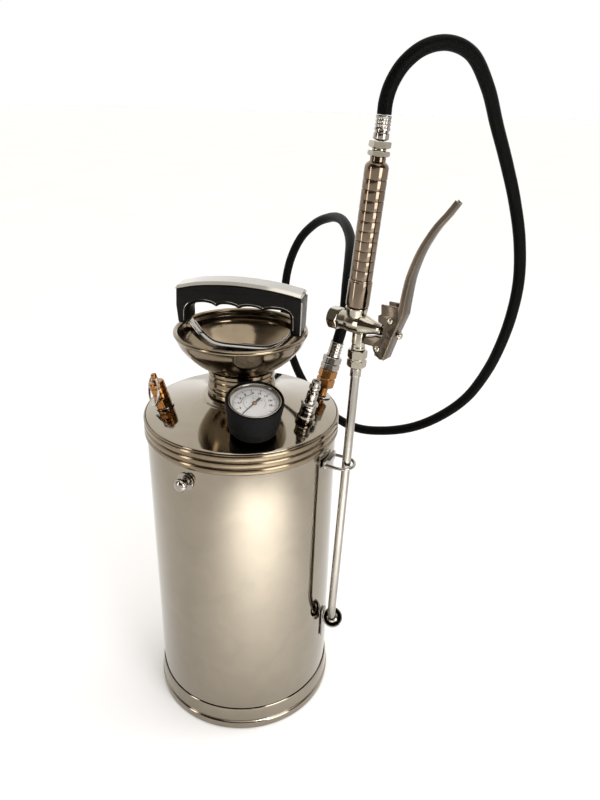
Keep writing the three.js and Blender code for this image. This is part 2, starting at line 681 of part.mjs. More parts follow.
// The trigger's back, from its foot to its tip, in the wand's [x, z] plane.
const LEVER_BACK = [
  [28.3, 405], [34, 425], [40.8, 445], [41.3, 455], [42, 465], [43.2, 475], [45.6, 485],
  [48.8, 495], [53.3, 505], [58.9, 515], [66.2, 525], [72, 534],
];
const LEVER_FLANGED = 3;             // from this point up, the sides are narrow flanges

// The points of a line, moved square to it towards the grip.
function inset(line, distance) {
  return line.map(([x, z], i) => {
    const [beforeX, beforeZ] = line[Math.max(i - 1, 0)];
    const [afterX, afterZ] = line[Math.min(i + 1, line.length - 1)];
    const length = Math.hypot(afterX - beforeX, afterZ - beforeZ);
    return [x - (distance * (afterZ - beforeZ)) / length, z + (distance * (afterX - beforeX)) / length];
  });
}

// What the trigger's width leaves: full at the pivot, narrow at the tip.
function leverTaper(shrink) {
  const full = LEVER_WIDTH / 2 - shrink;
  const tip = LEVER_TIP_WIDTH / 2 - shrink;
  const front = flat([[-full, 400], [full, 400], [full, 460], [tip, 536], [-tip, 536], [-full, 460]]);
  const block = new THREE.ExtrudeGeometry(front, { depth: 90, bevelEnabled: false });
  return welded(block.rotateX(Math.PI / 2).rotateZ(Math.PI / 2));
}

const crossPin = (radius, length, [x, z]) =>
  rod(radius, -length / 2, length / 2).rotateX(Math.PI / 2).translate(x, 0, z);

const BOLT_PLACE = [30.1, 439.3];
const SCREW_HEIGHT = 427;

function lever() {
  const flange = inset(LEVER_BACK.slice(LEVER_FLANGED), LEVER_FLANGE).reverse();
  const cheek = [
    [36, 451.5], [21, 450.8], [22.1, 442.4], [19.3, 441.3], [19.9, 436], [25.2, 434.4],
    [25.1, 428], [24.2, 422.5], [18.3, 417], [17.3, 413], [19.5, 409.4], [24.5, 405],
  ];
  const solid = shared(slab([...LEVER_BACK, ...flange, ...cheek], LEVER_WIDTH), leverTaper(0));
  const web = inset(LEVER_BACK, LEVER_SHEET).slice(0, -1);
  const hollow = [[web[0][0] - 1, 400], ...web, [20, 540], [0, 540], [0, 400]];
  const inner = shared(slab(hollow, LEVER_WIDTH), leverTaper(LEVER_SHEET));
  const channel = cut(
    solid,
    inner,
    crossPin(2.1, 20, PIVOT),
    crossPin(1.9, 20, BOLT_PLACE),
    rod(2.2, 20, 50).rotateY(Math.PI / 2).translate(0, 0, SCREW_HEIGHT),
  );
  const pinned = (radius, headRadius, place) => joined(
    crossPin(radius, LEVER_WIDTH + 2, place),
    crossPin(headRadius, 1.5, place).translate(0, LEVER_WIDTH / 2 + GAP + 0.75, 0),
    crossPin(headRadius, 1.5, place).translate(0, -LEVER_WIDTH / 2 - GAP - 0.75, 0),
  );
  const screwLine = turned([
    [0, 24.5], [1, 24.5], [1.9, 25.6], [1.9, 36.4], [3.2, 36.4], [3.2, 38], [2.2, 38.8], [0, 38.8],
  ], FINE_SIDES);
  return group(
    part("lever", channel, BRONZE),
    part("lever_pivot_pin", pinned(1.8, 2.7, PIVOT), NICKEL),
    part("lever_bolt", pinned(1.6, 2.9, BOLT_PLACE), NICKEL),
    part("lever_screw", screwLine.rotateY(Math.PI / 2).translate(0, 0, SCREW_HEIGHT), NICKEL),
  );
}

function leverBracket() {
  const outline = [
    [6.4, 413.2], [6.4, 419], [11, 420.2], [16, 422.2], [22.4, 422.4], [24.4, 418],
    [24.6, 413.4], [23.4, 411], [21.3, 410.2], [18.4, 411.4], [15.5, 413.2],
  ];
  return part("lever_bracket", cut(slab(outline, 8), crossPin(2.1, 12, PIVOT)), BRONZE);
}

// ---------------------------------------------------------------- wand

const wandPoint = (height) =>
  new THREE.Vector3(...WAND_FOOT).addScaledVector(WAND_UP, height);

// The wand's bent end: where it starts, and the straight line it ends on.
function tipPlaces() {
  const start = wandPoint(BEND_START);
  const back = new THREE.Vector3(Math.cos(BEND_AZIMUTH), Math.sin(BEND_AZIMUTH), 0);
  back.addScaledVector(WAND_UP, -back.dot(WAND_UP)).normalize();
  const at = (angle) => start.clone()
    .addScaledVector(back, BEND_RADIUS * (1 - Math.cos(angle)))
    .addScaledVector(WAND_UP, -BEND_RADIUS * Math.sin(angle));
  const along = WAND_UP.clone().multiplyScalar(-Math.cos(BEND_ANGLE));
  along.addScaledVector(back, Math.sin(BEND_ANGLE));
  const onTip = (distance) => at(BEND_ANGLE).addScaledVector(along, distance);
  return { at, along, onTip };
}

// Stands a piece's Z along the wand's bent end, some way past the bend.
function alongTip(piece, distance) {
  const { along, onTip } = tipPlaces();
  piece.position.copy(onTip(distance));
  piece.quaternion.setFromUnitVectors(new THREE.Vector3(0, 0, 1), along);
  return piece;
}

function wandTube() {
  const line = turned([
    [WAND_BORE, BEND_START - 0.6], [WAND_RADIUS, BEND_START - 0.6], [WAND_RADIUS, 381.5],
    [4.8, 381.6], [4.8, 389], [WAND_RADIUS, 390], [WAND_RADIUS, WAND_TOP], [WAND_BORE, WAND_TOP],
  ], FINE_SIDES);
  const { at, onTip } = tipPlaces();
  const arcSteps = 5;
  const points = [wandPoint(BEND_START)];
  for (let step = 1; step <= arcSteps; step += 1) points.push(at((BEND_ANGLE * step) / arcSteps));
  points.push(onTip(TIP_LENGTH));
  const bend = bar(smooth(points.map((point) => point.toArray())), WAND_RADIUS, FINE_SIDES, 8, WAND_BORE);
  return part("wand_tube", joined(placed(line, onWand()), bend), CHROME);
}

function wandNozzle() {
  const outline = [
    [1.2, GAP], [WAND_RADIUS, GAP], [NOZZLE_RADIUS, 1.4], [NOZZLE_RADIUS, NOZZLE_LENGTH - 2],
    [NOZZLE_RADIUS - 2, NOZZLE_LENGTH], [1.2, NOZZLE_LENGTH],
  ];
  const nozzle = part("wand_nozzle", turned(outline, FINE_SIDES), NICKEL);
  return alongTip(nozzle, TIP_LENGTH);
}

function wandNut() {
  const blank = joined(hexagon(8.5, 390.4, 397), hexagon(8.5, 398.2, 405.7), rod(7.2, 396.5, 398.7, SIDES));
  return part("wand_nut", cut(blank, rod(WAND_RADIUS + GAP, 388, 407, SIDES)), NICKEL);
}

// ---------------------------------------------------------------- holders on the shell

function wandLoop() {
  const plateFace = TANK_RADIUS + GAP;
  const plate = box([3, 24, 8], [plateFace + 1.8, 0, LOOP_HEIGHT]);
  const roundSteps = 8;
  const points = [[plateFace + 2.4, -LOOP_HALF_SPACING, LOOP_HEIGHT]];
  for (let step = 0; step <= roundSteps; step += 1) {
    const angle = -Math.PI / 2 + (Math.PI * step) / roundSteps;
    const x = LOOP_CENTRE + LOOP_HALF_SPACING * Math.cos(angle);
    points.push([x, LOOP_HALF_SPACING * Math.sin(angle), LOOP_HEIGHT]);
  }
  points.push([plateFace + 2.4, LOOP_HALF_SPACING, LOOP_HEIGHT]);
  const wire = bar(smooth(points), LOOP_WIRE, 8, 20);
  const loop = part("wand_loop", joined(plate, wire), CHROME);
  loop.rotation.z = LOOP_AZIMUTH;
  return loop;
}

function wandCup() {
  const inner = CUP_RADIUS - 1;
  const cup = turned([
    [0, CUP_DEPTH], [5, CUP_DEPTH], [8.4, 10.2], [CUP_RADIUS, 7], [CUP_RADIUS, 0], [inner, 0],
    [inner, 6.6], [7.6, 9.2], [4.6, CUP_DEPTH - 1.2], [0, CUP_DEPTH - 1.2],
  ]);
  const cupMesh = alongTip(part("wand_cup", cup, CHROME), CUP_MOUTH);
  const strapSheet = 1.8;
  const strapInner = TANK_RADIUS + GAP;
  const { x, y, z } = cupMesh.position;
  const strap = box([strapSheet, 9, 34], [strapInner + strapSheet / 2, 0, z - CUP_DEPTH]);
  const strapMesh = part("wand_cup_bracket", strap, SATIN_STEEL);
  strapMesh.rotation.z = Math.atan2(y, x) + 2 * DEGREE;
  return group(cupMesh, strapMesh);
}

function strapStud() {
  const stud = turned([
    [0, 90.5], [3, 90.5], [3, 94], [5.4, 95.6], [6, 98], [5, 100.4], [2.6, 101.6], [0, 101.8],
  ]);
  const mesh = part("strap_stud", stud.rotateY(Math.PI / 2), CHROME);
  mesh.rotation.z = STUD_AZIMUTH;
  mesh.position.z = STUD_HEIGHT;
  return mesh;
}

// ---------------------------------------------------------------- assembly

const assembly = group(
  tank(), pump(), plunger(), handle(), gauge(), safetyValve(), airInlet(), outlet(), dipTube(),
  hose(), onWand(gunGrip(), valve(), lever(), leverBracket(), wandNut()), wandTube(),
  wandNozzle(), wandLoop(), wandCup(), strapStud(),
);

// The origin is under the middle of everything but the hose.
const outline = new THREE.Box3();
assembly.updateMatrixWorld(true);
assembly.traverse((piece) => {
  if (piece.isMesh && piece.name !== "hose") outline.expandByObject(piece, true);
});
const middle = outline.getCenter(new THREE.Vector3());
assembly.position.set(-middle.x, -middle.y, 0);

const sprayer = new THREE.Group();
sprayer.add(assembly);

export default sprayer;
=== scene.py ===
"""The looks of a stainless compression sprayer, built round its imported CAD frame.

Shapes are written in millimetres in a local frame, and each is stood in its place by a
matrix that also turns millimetres into metres. TANK is the frame whose Z is the tank's
own axis and whose origin is on the floor.
"""

import json
import math

import bmesh
import bpy
from mathutils import Matrix, Vector
from mathutils.geometry import tessellate_polygon


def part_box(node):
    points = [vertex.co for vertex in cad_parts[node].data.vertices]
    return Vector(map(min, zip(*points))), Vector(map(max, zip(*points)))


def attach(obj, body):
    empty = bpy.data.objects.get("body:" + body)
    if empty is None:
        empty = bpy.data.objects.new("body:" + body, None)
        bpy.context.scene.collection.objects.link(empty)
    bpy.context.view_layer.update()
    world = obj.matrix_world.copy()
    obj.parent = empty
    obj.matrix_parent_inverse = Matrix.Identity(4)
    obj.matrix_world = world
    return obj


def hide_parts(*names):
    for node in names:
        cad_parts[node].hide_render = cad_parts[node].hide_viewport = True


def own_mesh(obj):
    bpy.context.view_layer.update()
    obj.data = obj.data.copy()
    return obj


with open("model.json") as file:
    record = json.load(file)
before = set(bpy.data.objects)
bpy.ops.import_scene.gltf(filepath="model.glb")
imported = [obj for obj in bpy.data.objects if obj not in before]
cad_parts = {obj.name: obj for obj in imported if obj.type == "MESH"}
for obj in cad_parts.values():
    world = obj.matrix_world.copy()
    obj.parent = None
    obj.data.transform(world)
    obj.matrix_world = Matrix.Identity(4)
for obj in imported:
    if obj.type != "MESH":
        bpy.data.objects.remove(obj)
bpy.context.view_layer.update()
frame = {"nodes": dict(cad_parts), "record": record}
RECORD = frame["record"]
BODY_OF = {node: body for body, nodes in RECORD["behaviour"]["bodies"].items() for node in nodes}
SLOT_OF = {entry["node"]: entry["material_slot"] for entry in RECORD["subparts"]}


# -------- places

def new_object(name, data):
    """An object in the scene."""
    obj = bpy.data.objects.new(name, data)
    bpy.context.scene.collection.objects.link(obj)
    return obj


def turn(angle, axis):
    return Matrix.Rotation(angle, 4, axis)


def shift(x, y, z):
    return Matrix.Translation((x, y, z))


SHELL_LOW, SHELL_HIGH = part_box("tank_shell")
TANK_AXIS = (SHELL_LOW + SHELL_HIGH) / 2
TANK = shift(TANK_AXIS.x, TANK_AXIS.y, 0) @ Matrix.Scale(0.001, 4)

LID_SLOPE = math.radians(15)
LID_EDGE_RADIUS, LID_EDGE_HEIGHT = 88, 327


def lid_height(radius):
    return LID_EDGE_HEIGHT + (LID_EDGE_RADIUS - radius) * math.tan(LID_SLOPE)


def on_lid(azimuth, radius):
    """Z stands square to the lid's cone, X runs down the slope."""
    x, y = radius * math.cos(azimuth), radius * math.sin(azimuth)
    return TANK @ shift(x, y, lid_height(radius)) @ turn(azimuth, "Z") @ turn(LID_SLOPE, "Y")


GAUGE = on_lid(math.radians(-76), 62.5)
SAFETY_AZIMUTH = math.radians(-169.3)
SAFETY = on_lid(SAFETY_AZIMUTH, 71.6)
RING_AZIMUTH, RING_LEAN = math.radians(-150), math.radians(22)
RING_HOLE = SAFETY @ shift(0, 0, 31) @ turn(RING_AZIMUTH - SAFETY_AZIMUTH, "Z")
INLET = on_lid(math.radians(-29.4), 68.3)
OUTLET = on_lid(math.radians(18.1), 79.2)
HANDLE = TANK @ turn(math.radians(-10), "Z")

WAND_FOOT = Vector((88.5, -53, 0.3))
WAND_UP = Vector((0.0344, 0.0212, 0.9992)).normalized()
GUN_AZIMUTH = math.radians(-36)
_across = Vector((-math.sin(GUN_AZIMUTH), math.cos(GUN_AZIMUTH), 0))
WAND_OUT = _across.cross(WAND_UP).normalized()
WAND_ACROSS = WAND_UP.cross(WAND_OUT)


def from_axes(x, y, z, origin):
    columns = Matrix((x, y, z)).transposed().to_4x4()
    return Matrix.Translation(origin) @ columns


WAND = TANK @ from_axes(WAND_OUT, WAND_ACROSS, WAND_UP, WAND_FOOT)
GRIP_FOOT = (-4.8, 442)
GRIP = WAND @ shift(GRIP_FOOT[0], 0, GRIP_FOOT[1]) @ turn(math.radians(2.7), "Y")
BARREL_HEIGHT = 428
BARREL = WAND @ shift(0, 0, BARREL_HEIGHT) @ turn(math.pi / 2, "Y")
LOOP = TANK @ turn(math.radians(-25), "Z")
STUD_AZIMUTH, STUD_HEIGHT = math.radians(-117.8), 292.5
STUD = TANK @ shift(0, 0, STUD_HEIGHT) @ turn(STUD_AZIMUTH, "Z") @ turn(math.pi / 2, "Y")


# -------- camera

CAMERA_PLACE = (54.9, -573.6, 610.3)
CAMERA_DOWN = math.radians(25.6)
CAMERA_ROLL = math.radians(1.59)
CAMERA_LENS = 40.31


def photo_camera():
    """At the photograph's viewing angle: from above the front, with a slight roll."""
    down, roll = CAMERA_DOWN, CAMERA_ROLL
    ahead = Vector((0, math.cos(down), -math.sin(down)))
    right = Vector((1, 0, 0))
    up = right.cross(ahead)
    rolled_right = right * math.cos(roll) + up * math.sin(roll)
    rolled_up = up * math.cos(roll) - right * math.sin(roll)
    data = bpy.data.cameras.new("camera")
    data.sensor_fit = "HORIZONTAL"
    data.sensor_width = 36
    data.lens = CAMERA_LENS
    data.clip_start = 0.01
    camera = new_object("camera", data)
    camera.matrix_world = from_axes(rolled_right, rolled_up, -ahead, TANK @ Vector(CAMERA_PLACE))
    bpy.context.scene.camera = camera


photo_camera()


# -------- lines

def smooth_line(points, steps):
    """A centripetal Catmull-Rom line through the points, with some steps to each span."""
    points = [Vector(point) for point in points]
    ends = [2 * points[0] - points[1], *points, 2 * points[-1] - points[-2]]
    line = []
    for before, start, end, after in zip(ends, ends[1:], ends[2:], ends[3:]):
        d0 = math.sqrt((start - before).length)
        d1 = math.sqrt((end - start).length)
        d2 = math.sqrt((after - end).length)
        leave = ((start - before) / d0 - (end - before) / (d0 + d1) + (end - start) / d1) * d1
        arrive = ((end - start) / d1 - (after - start) / (d1 + d2) + (after - end) / d2) * d1
        for step in range(steps):
            t = step / steps
            line.append(
                start * (2 * t**3 - 3 * t**2 + 1) + end * (3 * t**2 - 2 * t**3)
                + leave * (t**3 - 2 * t**2 + t) + arrive * (t**3 - t**2)
            )
    line.append(points[-1])
    return line


def rounded(outline, radius, steps=3, closed=True):
    """The outline with each corner turned off; its ends stay if it isn't closed."""
    points = [Vector(point) for point in outline]
    line = []
    for i, corner in enumerate(points):
        if not closed and i in (0, len(points) - 1):
            line.append(corner)
            continue
        to_before = points[i - 1] - corner
        to_after = points[(i + 1) % len(points)] - corner
        start = corner + to_before.normalized() * min(radius, 0.4 * to_before.length)
        end = corner + to_after.normalized() * min(radius, 0.4 * to_after.length)
        for step in range(steps + 1):
            t = step / steps
            line.append(start * (1 - t) ** 2 + corner * 2 * t * (1 - t) + end * t**2)
    return line


def share_of(value, first, last):
    """How far a value has come from first to last, from 0 to 1."""
    return min(max((value - first) / (last - first), 0), 1)


def arc(centre, radius, first, last, steps):
    """Points on an arc, from one angle to another in degrees."""
    angles = [math.radians(first + (last - first) * step / steps) for step in range(steps + 1)]
    return [(centre[0] + radius * math.cos(a), centre[1] + radius * math.sin(a)) for a in angles]


# -------- shapes: (corners, faces)

def rings(rows, closed):
    """Quads between rows of corners that each run once round. A row of one is a tip."""
    corners = []
    starts = []
    for row in rows:
        starts.append(len(corners))
        corners.extend(row)
    faces = []
    pairs = list(zip(range(len(rows) - 1), range(1, len(rows))))
    if closed:
        pairs.append((len(rows) - 1, 0))
    for low, high in pairs:
        count = max(len(rows[low]), len(rows[high]))
        for i in range(count):
            j = (i + 1) % count
            face = [starts[low] + i, starts[low] + j, starts[high] + j, starts[high] + i]
            if len(rows[low]) == 1:
                face = [starts[low], starts[high] + j, starts[high] + i]
            elif len(rows[high]) == 1:
                face = [starts[low] + i, starts[low] + j, starts[high]]
            faces.append(face)
    return corners, faces


def capped(rows):
    """Rows of corners joined into a bar with flat ends."""
    corners, faces = rings(rows, False)
    count = len(rows[0])
    faces.append(list(range(count))[::-1])
    faces.append(list(range(len(corners) - count, len(corners))))
    return corners, faces


def circle(radius, height, sides):
    """A level row of corners about Z, or its one middle point."""
    if radius < 1e-6:
        return [(0, 0, height)]
    angles = [2 * math.pi * i / sides for i in range(sides)]
    return [(radius * math.cos(a), radius * math.sin(a), height) for a in angles]


def lathe(outline, sides=96, corner=0.4):
    """A turned piece about Z. The outline closes on itself, or starts and ends on the axis."""
    closed = outline[0][0] > 0
    line = rounded(outline, corner, closed=closed) if corner else [Vector(p) for p in outline]
    return rings([circle(radius, height, sides) for radius, height in line], closed)


def tube(bore, radius, low, high, sides=48, corner=0.4):
    """A plain turned ring about Z, or a solid disc if its bore is 0."""
    return lathe([(bore, low), (radius, low), (radius, high), (bore, high)], sides, corner)


def hex_nut(corner, low, high, bore):
    """A hexagon about Z with a hole, whose corners are turned off at 30 degrees."""
    sides = 96
    flat_radius = corner * math.cos(math.pi / 6)
    bevel_start = flat_radius * 0.97
    slope = math.tan(math.radians(30))

    def ring(radius, height):
        return circle(radius, height, sides)

    def hex_ring(height, way, tuck):
        row = []
        for x, y, _ in circle(1, 0, sides):
            off = (math.atan2(y, x) + math.pi / 6) % (math.pi / 3) - math.pi / 6
            reach = min(flat_radius / math.cos(off), corner * 0.985)
            drop = (reach - bevel_start) * slope
            row.append((x * (reach - tuck), y * (reach - tuck), height + way * drop))
        return row

    rows = [
        ring(bore, low), ring(bevel_start, low), hex_ring(low, 1, 0.1), hex_ring(low + 0.15, 1, 0),
        hex_ring(high - 0.15, -1, 0), hex_ring(high, -1, 0.1), ring(bevel_start, high), ring(bore, high),
    ]
    return rings(rows, True)


def swept(path, radius, sides=24, flat=1.0):
    """A round bar along a line of points, flattened one way where flat is under 1."""
    path = [Vector(point) for point in path]
    angles = [2 * math.pi * i / sides for i in range(sides)]
    rows = []
    side = None
    for i, point in enumerate(path):
        tangent = (path[min(i + 1, len(path) - 1)] - path[max(i - 1, 0)]).normalized()
        if side is None:
            side = tangent.orthogonal().normalized()
        side = (side - tangent * side.dot(tangent)).normalized()
        over = tangent.cross(side) * flat
        rows.append([
            tuple(point + (side * math.cos(a) + over * math.sin(a)) * radius) for a in angles
        ])
    return capped(rows)


UNFOLDING_PASSES = 12


def inset(line, distances):
    """A closed outline of [x, z] points, moved inwards (its points run anticlockwise).

    Where a tight corner would fold the moved line over, its points are drawn together.
    """
    inner = []
    for i, point in enumerate(line):
        tangent = (line[(i + 1) % len(line)] - line[i - 1]).normalized()
        inner.append(point + Vector((-tangent.y, tangent.x)) * distances[i])
    for _ in range(UNFOLDING_PASSES):
        for i, place in enumerate(inner):
            j = (i + 1) % len(inner)
            if (inner[j] - place).dot(line[j] - line[i]) <= 0:
                inner[i] = inner[j] = (inner[j] + place) / 2
    return inner


def slab(outline, width, edge, steps=4):
    """A plate in the XZ plane, with a width along Y about the middle.

    Its edges are rounded: edge is one radius, or one for each point (anticlockwise).
    """
    line = [Vector(point) for point in outline]
    area = sum(a.x * b.y - b.x * a.y for a, b in zip(line, line[1:] + line[:1]))
    if area < 0:
        line.reverse()
    edges = edge if isinstance(edge, list) else [edge] * len(line)
    rows = []
    for way in (-1, 1):
        turns = range(steps + 1) if way < 0 else range(steps, -1, -1)
        for step in turns:
            angle = math.pi / 2 * step / steps
            flat = inset(line, [radius * (1 - math.sin(angle)) for radius in edges])
            rows.append([
                (point.x, way * (width / 2 - radius * (1 - math.cos(angle))), point.y)
                for point, radius in zip(flat, edges)
            ])
    corners, faces = rings(rows, False)
    last = len(corners) - len(line)
    for side in tessellate_polygon([[point.to_3d() for point in line]]):
        faces.append(list(side))
        faces.append([last + i for i in side])
    return corners, faces


def moved(shape, matrix):
    """The shape stood somewhere else."""
    corners, faces = shape
    return [tuple(matrix @ Vector(corner)) for corner in corners], faces


def around(shape, count):
    """Copies of a shape, spaced evenly round Z."""
    return together(*[moved(shape, turn(2 * math.pi * k / count, "Z")) for k in range(count)])


def together(*shapes):
    """Several closed shapes in one mesh."""
    corners, faces = [], []
    for more_corners, more_faces in shapes:
        start = len(corners)
        corners.extend(more_corners)
        faces.extend([[start + i for i in face] for face in more_faces])
    return corners, faces


# -------- materials

class Nodes:
    """A short way to write a node tree."""

    def __init__(self, owner):
        owner.use_nodes = True
        self.tree = owner.node_tree

    def fill(self, node, sockets):
        """Sets a node's sockets, each to a value or a link from another node."""
        for key, value in sockets.items():
            if isinstance(value, bpy.types.NodeSocket):
                self.tree.links.new(value, node.inputs[key])
            else:
                node.inputs[key].default_value = value
        return node

    def add(self, kind, sockets=None, **values):
        node = self.tree.nodes.new(kind)
        for key, value in values.items():
            setattr(node, key, value)
        return self.fill(node, sockets or {})

    def ramp(self, source, stops):
        """Turns a source of 0 to 1 into a colour, by stops of (position, colour)."""
        ramp = self.add("ShaderNodeValToRGB", {"Fac": source})
        elements = ramp.color_ramp.elements
        while len(elements) < len(stops):
            elements.new(0.5)
        for element, (position, color) in zip(elements, stops):
            element.position = position
            element.color = (*color, 1)
        return ramp.outputs["Color"]


class Finish(Nodes):
    """A material's nodes, whose noises are fixed to the object."""

    def __init__(self):
        self.material = bpy.data.materials.new("finish")
        super().__init__(self.material)
        self.place = self.add("ShaderNodeTexCoord").outputs["Object"]

    def noise(self, scale, stretch=(1, 1, 1), detail=4.0, distortion=0.0):
        """Noise at a scale in lumps to a metre, drawn out along some axes."""
        mapping = self.add("ShaderNodeMapping", {"Vector": self.place, "Scale": stretch})
        noise = self.add("ShaderNodeTexNoise", {
            "Vector": mapping.outputs["Vector"], "Scale": scale, "Detail": detail,
            "Distortion": distortion,
        })
        return noise.outputs["Fac"]

    def span(self, source, low, high):
        """A noise's middle range, spread from low to high."""
        spread = self.add("ShaderNodeMapRange", {
            "Value": source, "From Min": 0.3, "From Max": 0.7, "To Min": low, "To Max": high,
        })
        return spread.outputs["Result"]

    def mean(self, first, second):
        half = self.add("ShaderNodeMath", {0: second, 1: 0.5}, operation="MULTIPLY")
        total = {0: first, 1: 0.5, 2: half.outputs[0]}
        return self.add("ShaderNodeMath", total, operation="MULTIPLY_ADD").outputs[0]

    def bump(self, source, distance, before=None):
        sockets = {"Height": source, "Distance": distance}
        if before is not None:
            sockets["Normal"] = before
        return self.add("ShaderNodeBump", sockets).outputs["Normal"]

    def done(self, sockets):
        """The material, once its shader's sockets are set."""
        self.fill(self.tree.nodes["Principled BSDF"], sockets)
        return self.material


def shades(color, spread):
    """A darker and a lighter colour either side of one."""
    dark = tuple(c * (1 - spread) for c in color)
    light = tuple(min(1.0, c * (1 + spread)) for c in color)
    return [(0.3, dark), (0.7, light)]


def metal(color, roughness, wear=0.12, grain=900, stretch=(1, 1, 1), waves=0.0, fine=0.000004):
    """Metal whose colour and gloss wander a little, with a fine grain and slow waves."""
    nodes = Finish()
    smudges = nodes.noise(38, detail=6, distortion=0.6)
    streaks = nodes.noise(grain, stretch, detail=3)
    normal = nodes.bump(streaks, fine)
    if waves:
        normal = nodes.bump(nodes.noise(9, detail=1), waves, before=normal)
    return nodes.done({
        "Base Color": nodes.ramp(smudges, shades(color, wear)),
        "Roughness": nodes.span(nodes.mean(smudges, streaks), roughness * 0.75, roughness * 1.3),
        "Normal": normal, "Metallic": 1,
    })


def plastic(color, roughness, spread=0.3, scale=260, depth=0.00002, gloss=0.5):
    """Moulded plastic or rubber with an uneven skin."""
    nodes = Finish()
    patches = nodes.noise(45, detail=5, distortion=0.4)
    return nodes.done({
        "Base Color": nodes.ramp(patches, shades(color, spread)),
        "Roughness": nodes.span(patches, roughness * 0.8, roughness * 1.25),
        "Normal": nodes.bump(nodes.noise(scale, detail=5), depth), "Specular IOR Level": gloss,
    })


def hose_skin():
    """Black rubber over braid: a satin skin with a fine cross-laid texture and bright specks in its colour,
    partly dust and partly painted sheen.
    """
    nodes = Finish()
    weave = nodes.noise(1500, detail=2)
    dust_and_sheen_specks = nodes.noise(2600, detail=1)
    return nodes.done({
        # the lighter specks in the base colour are partly dust and partly painted sheen
        "Base Color": nodes.ramp(dust_and_sheen_specks, [(0.62, (0.002, 0.002, 0.002)), (0.8, (0.03, 0.028, 0.025))]),
        "Roughness": nodes.span(weave, 0.35, 0.6),
        "Normal": nodes.bump(weave, 0.00008), "Specular IOR Level": 0.03,
    })


def lens_glass():
    nodes = Finish()
    return nodes.done({
        "Roughness": nodes.span(nodes.noise(300, detail=4), 0.02, 0.07),
        "Base Color": (0.96, 0.98, 0.98, 1), "Alpha": 0.05, "IOR": 1.5,
    })


def finishes():
    """A material for each of the record's slots, and for the dial's print and the shell's seam."""
    black = (0.005, 0.0045, 0.004)
    made = {
        "tank_steel": metal((0.265, 0.232, 0.183), 0.075, 0.05, 700, (1, 1, 0.04), 0.0006),
        "neck_steel": metal((0.19, 0.15, 0.10), 0.14, 0.12, 900, (0.1, 0.1, 1), 0.0002),
        "pump_black": plastic(black, 0.3, gloss=0.25),
        "seal_rubber": plastic((0.05, 0.02, 0.015), 0.7),
        "barrel_steel": metal((0.55, 0.53, 0.49), 0.25, stretch=(1, 1, 0.05)),
        "fitting_brass": metal((0.28, 0.13, 0.04), 0.16, 0.3, 1400, (0.1, 0.1, 1)),
        "cup_leather": plastic((0.14, 0.07, 0.03), 0.75, 0.4, 500, 0.0001),
        "bright_chrome": metal((0.29, 0.27, 0.24), 0.09, 0.08, 1100),
        "handle_black": plastic(black, 0.3, 0.3, 220, 0.00006, 0.1),
        "boot_rubber": plastic((0.004, 0.004, 0.004), 0.5, 0.4, 700, 0.00008, 0.04),
        "dial_white": plastic((0.66, 0.65, 0.635), 0.6, 0.03, 900, 0.000004, 0.2),
        "pointer_black": plastic((0.01, 0.01, 0.01), 0.4),
        "lens_clear": lens_glass(),
        "spring_wire": metal((0.45, 0.43, 0.4), 0.2),
        "strainer_black": plastic(black, 0.5),
        "hose_rubber": hose_skin(),
        "fitting_nickel": metal((0.34, 0.31, 0.25), 0.1, 0.12, 1000),
        "gun_nickel": metal((0.17, 0.13, 0.095), 0.1, 0.15, 900, (1, 1, 0.1)),
        "lever_bronze": metal((0.105, 0.083, 0.062), 0.24, 0.15, 800, (1, 1, 0.08)),
        "print_black": plastic((0.006, 0.006, 0.007), 0.6, gloss=0.1),
        "seam_steel": metal((0.3, 0.26, 0.21), 0.3),
    }
    for name, material in made.items():
        material.name = name
    return made


FINISHES = finishes()


# -------- pieces

def piece(name, shape, place, *nodes, like=None, material=None, crease=32):
    """A shape stood in its place, that stands for CAD nodes, or only goes with one.

    It takes that node's body, slot and finish, or another finish where material names one.
    """
    corners, faces = shape
    mesh = bpy.data.meshes.new(name)
    mesh.from_pydata(corners, [], faces)
    mesh.transform(place)
    mesh.validate()
    obj = new_object(name, mesh)
    face_out(mesh)
    mesh.shade_smooth()
    mesh.set_sharp_from_angle(angle=math.radians(crease))
    model = like or nodes[0]
    mesh.materials.append(FINISHES[material or SLOT_OF[model]])
    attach(obj, BODY_OF[model])
    if nodes:
        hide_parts(*nodes)
    return obj


def face_out(mesh):
    """Joins doubled corners and turns every face outwards."""
    work = bmesh.new()
    work.from_mesh(mesh)
    bmesh.ops.remove_doubles(work, verts=work.verts, dist=1e-7)
    bmesh.ops.recalc_face_normals(work, faces=work.faces)
    work.to_mesh(mesh)
    work.free()


# -------- hose

HOSE_ROUTE = [
    (89.4, 29.2, 384.7), (91.8, 30, 394.4), (94.8, 35, 410), (97, 54, 433), (100, 84, 451),
    (102, 119, 462), (99, 158, 469), (93, 199, 469), (83, 237, 462), (67.5, 267, 449),
    (49.5, 289, 425), (36, 302, 390), (30.5, 306, 352), (31.5, 296, 314), (39.5, 275, 280),
    (54, 250, 252.5), (73, 223, 233), (98, 196, 221), (127, 169, 218), (159, 148, 226.5),
    (190, 128, 243.5), (216, 112, 267), (237, 95, 298), (249, 78, 335), (254, 62, 370),
    (257, 51, 407), (256, 43, 445), (249, 38, 483), (237.5, 33, 518), (223, 24, 550),
    (207, 11, 580), (191.6, -5.2, 607.8), (172.7, -21.3, 629.5), (153.1, -31.6, 635.6),
    (135.3, -38.3, 631.8), (121.8, -41.7, 621.3), (113.9, -42.5, 608.1), (110.9, -41.8, 596.5),
    (110.4, -41.8, 587.9),
]
HOSE_DIAMETER = 0.0108


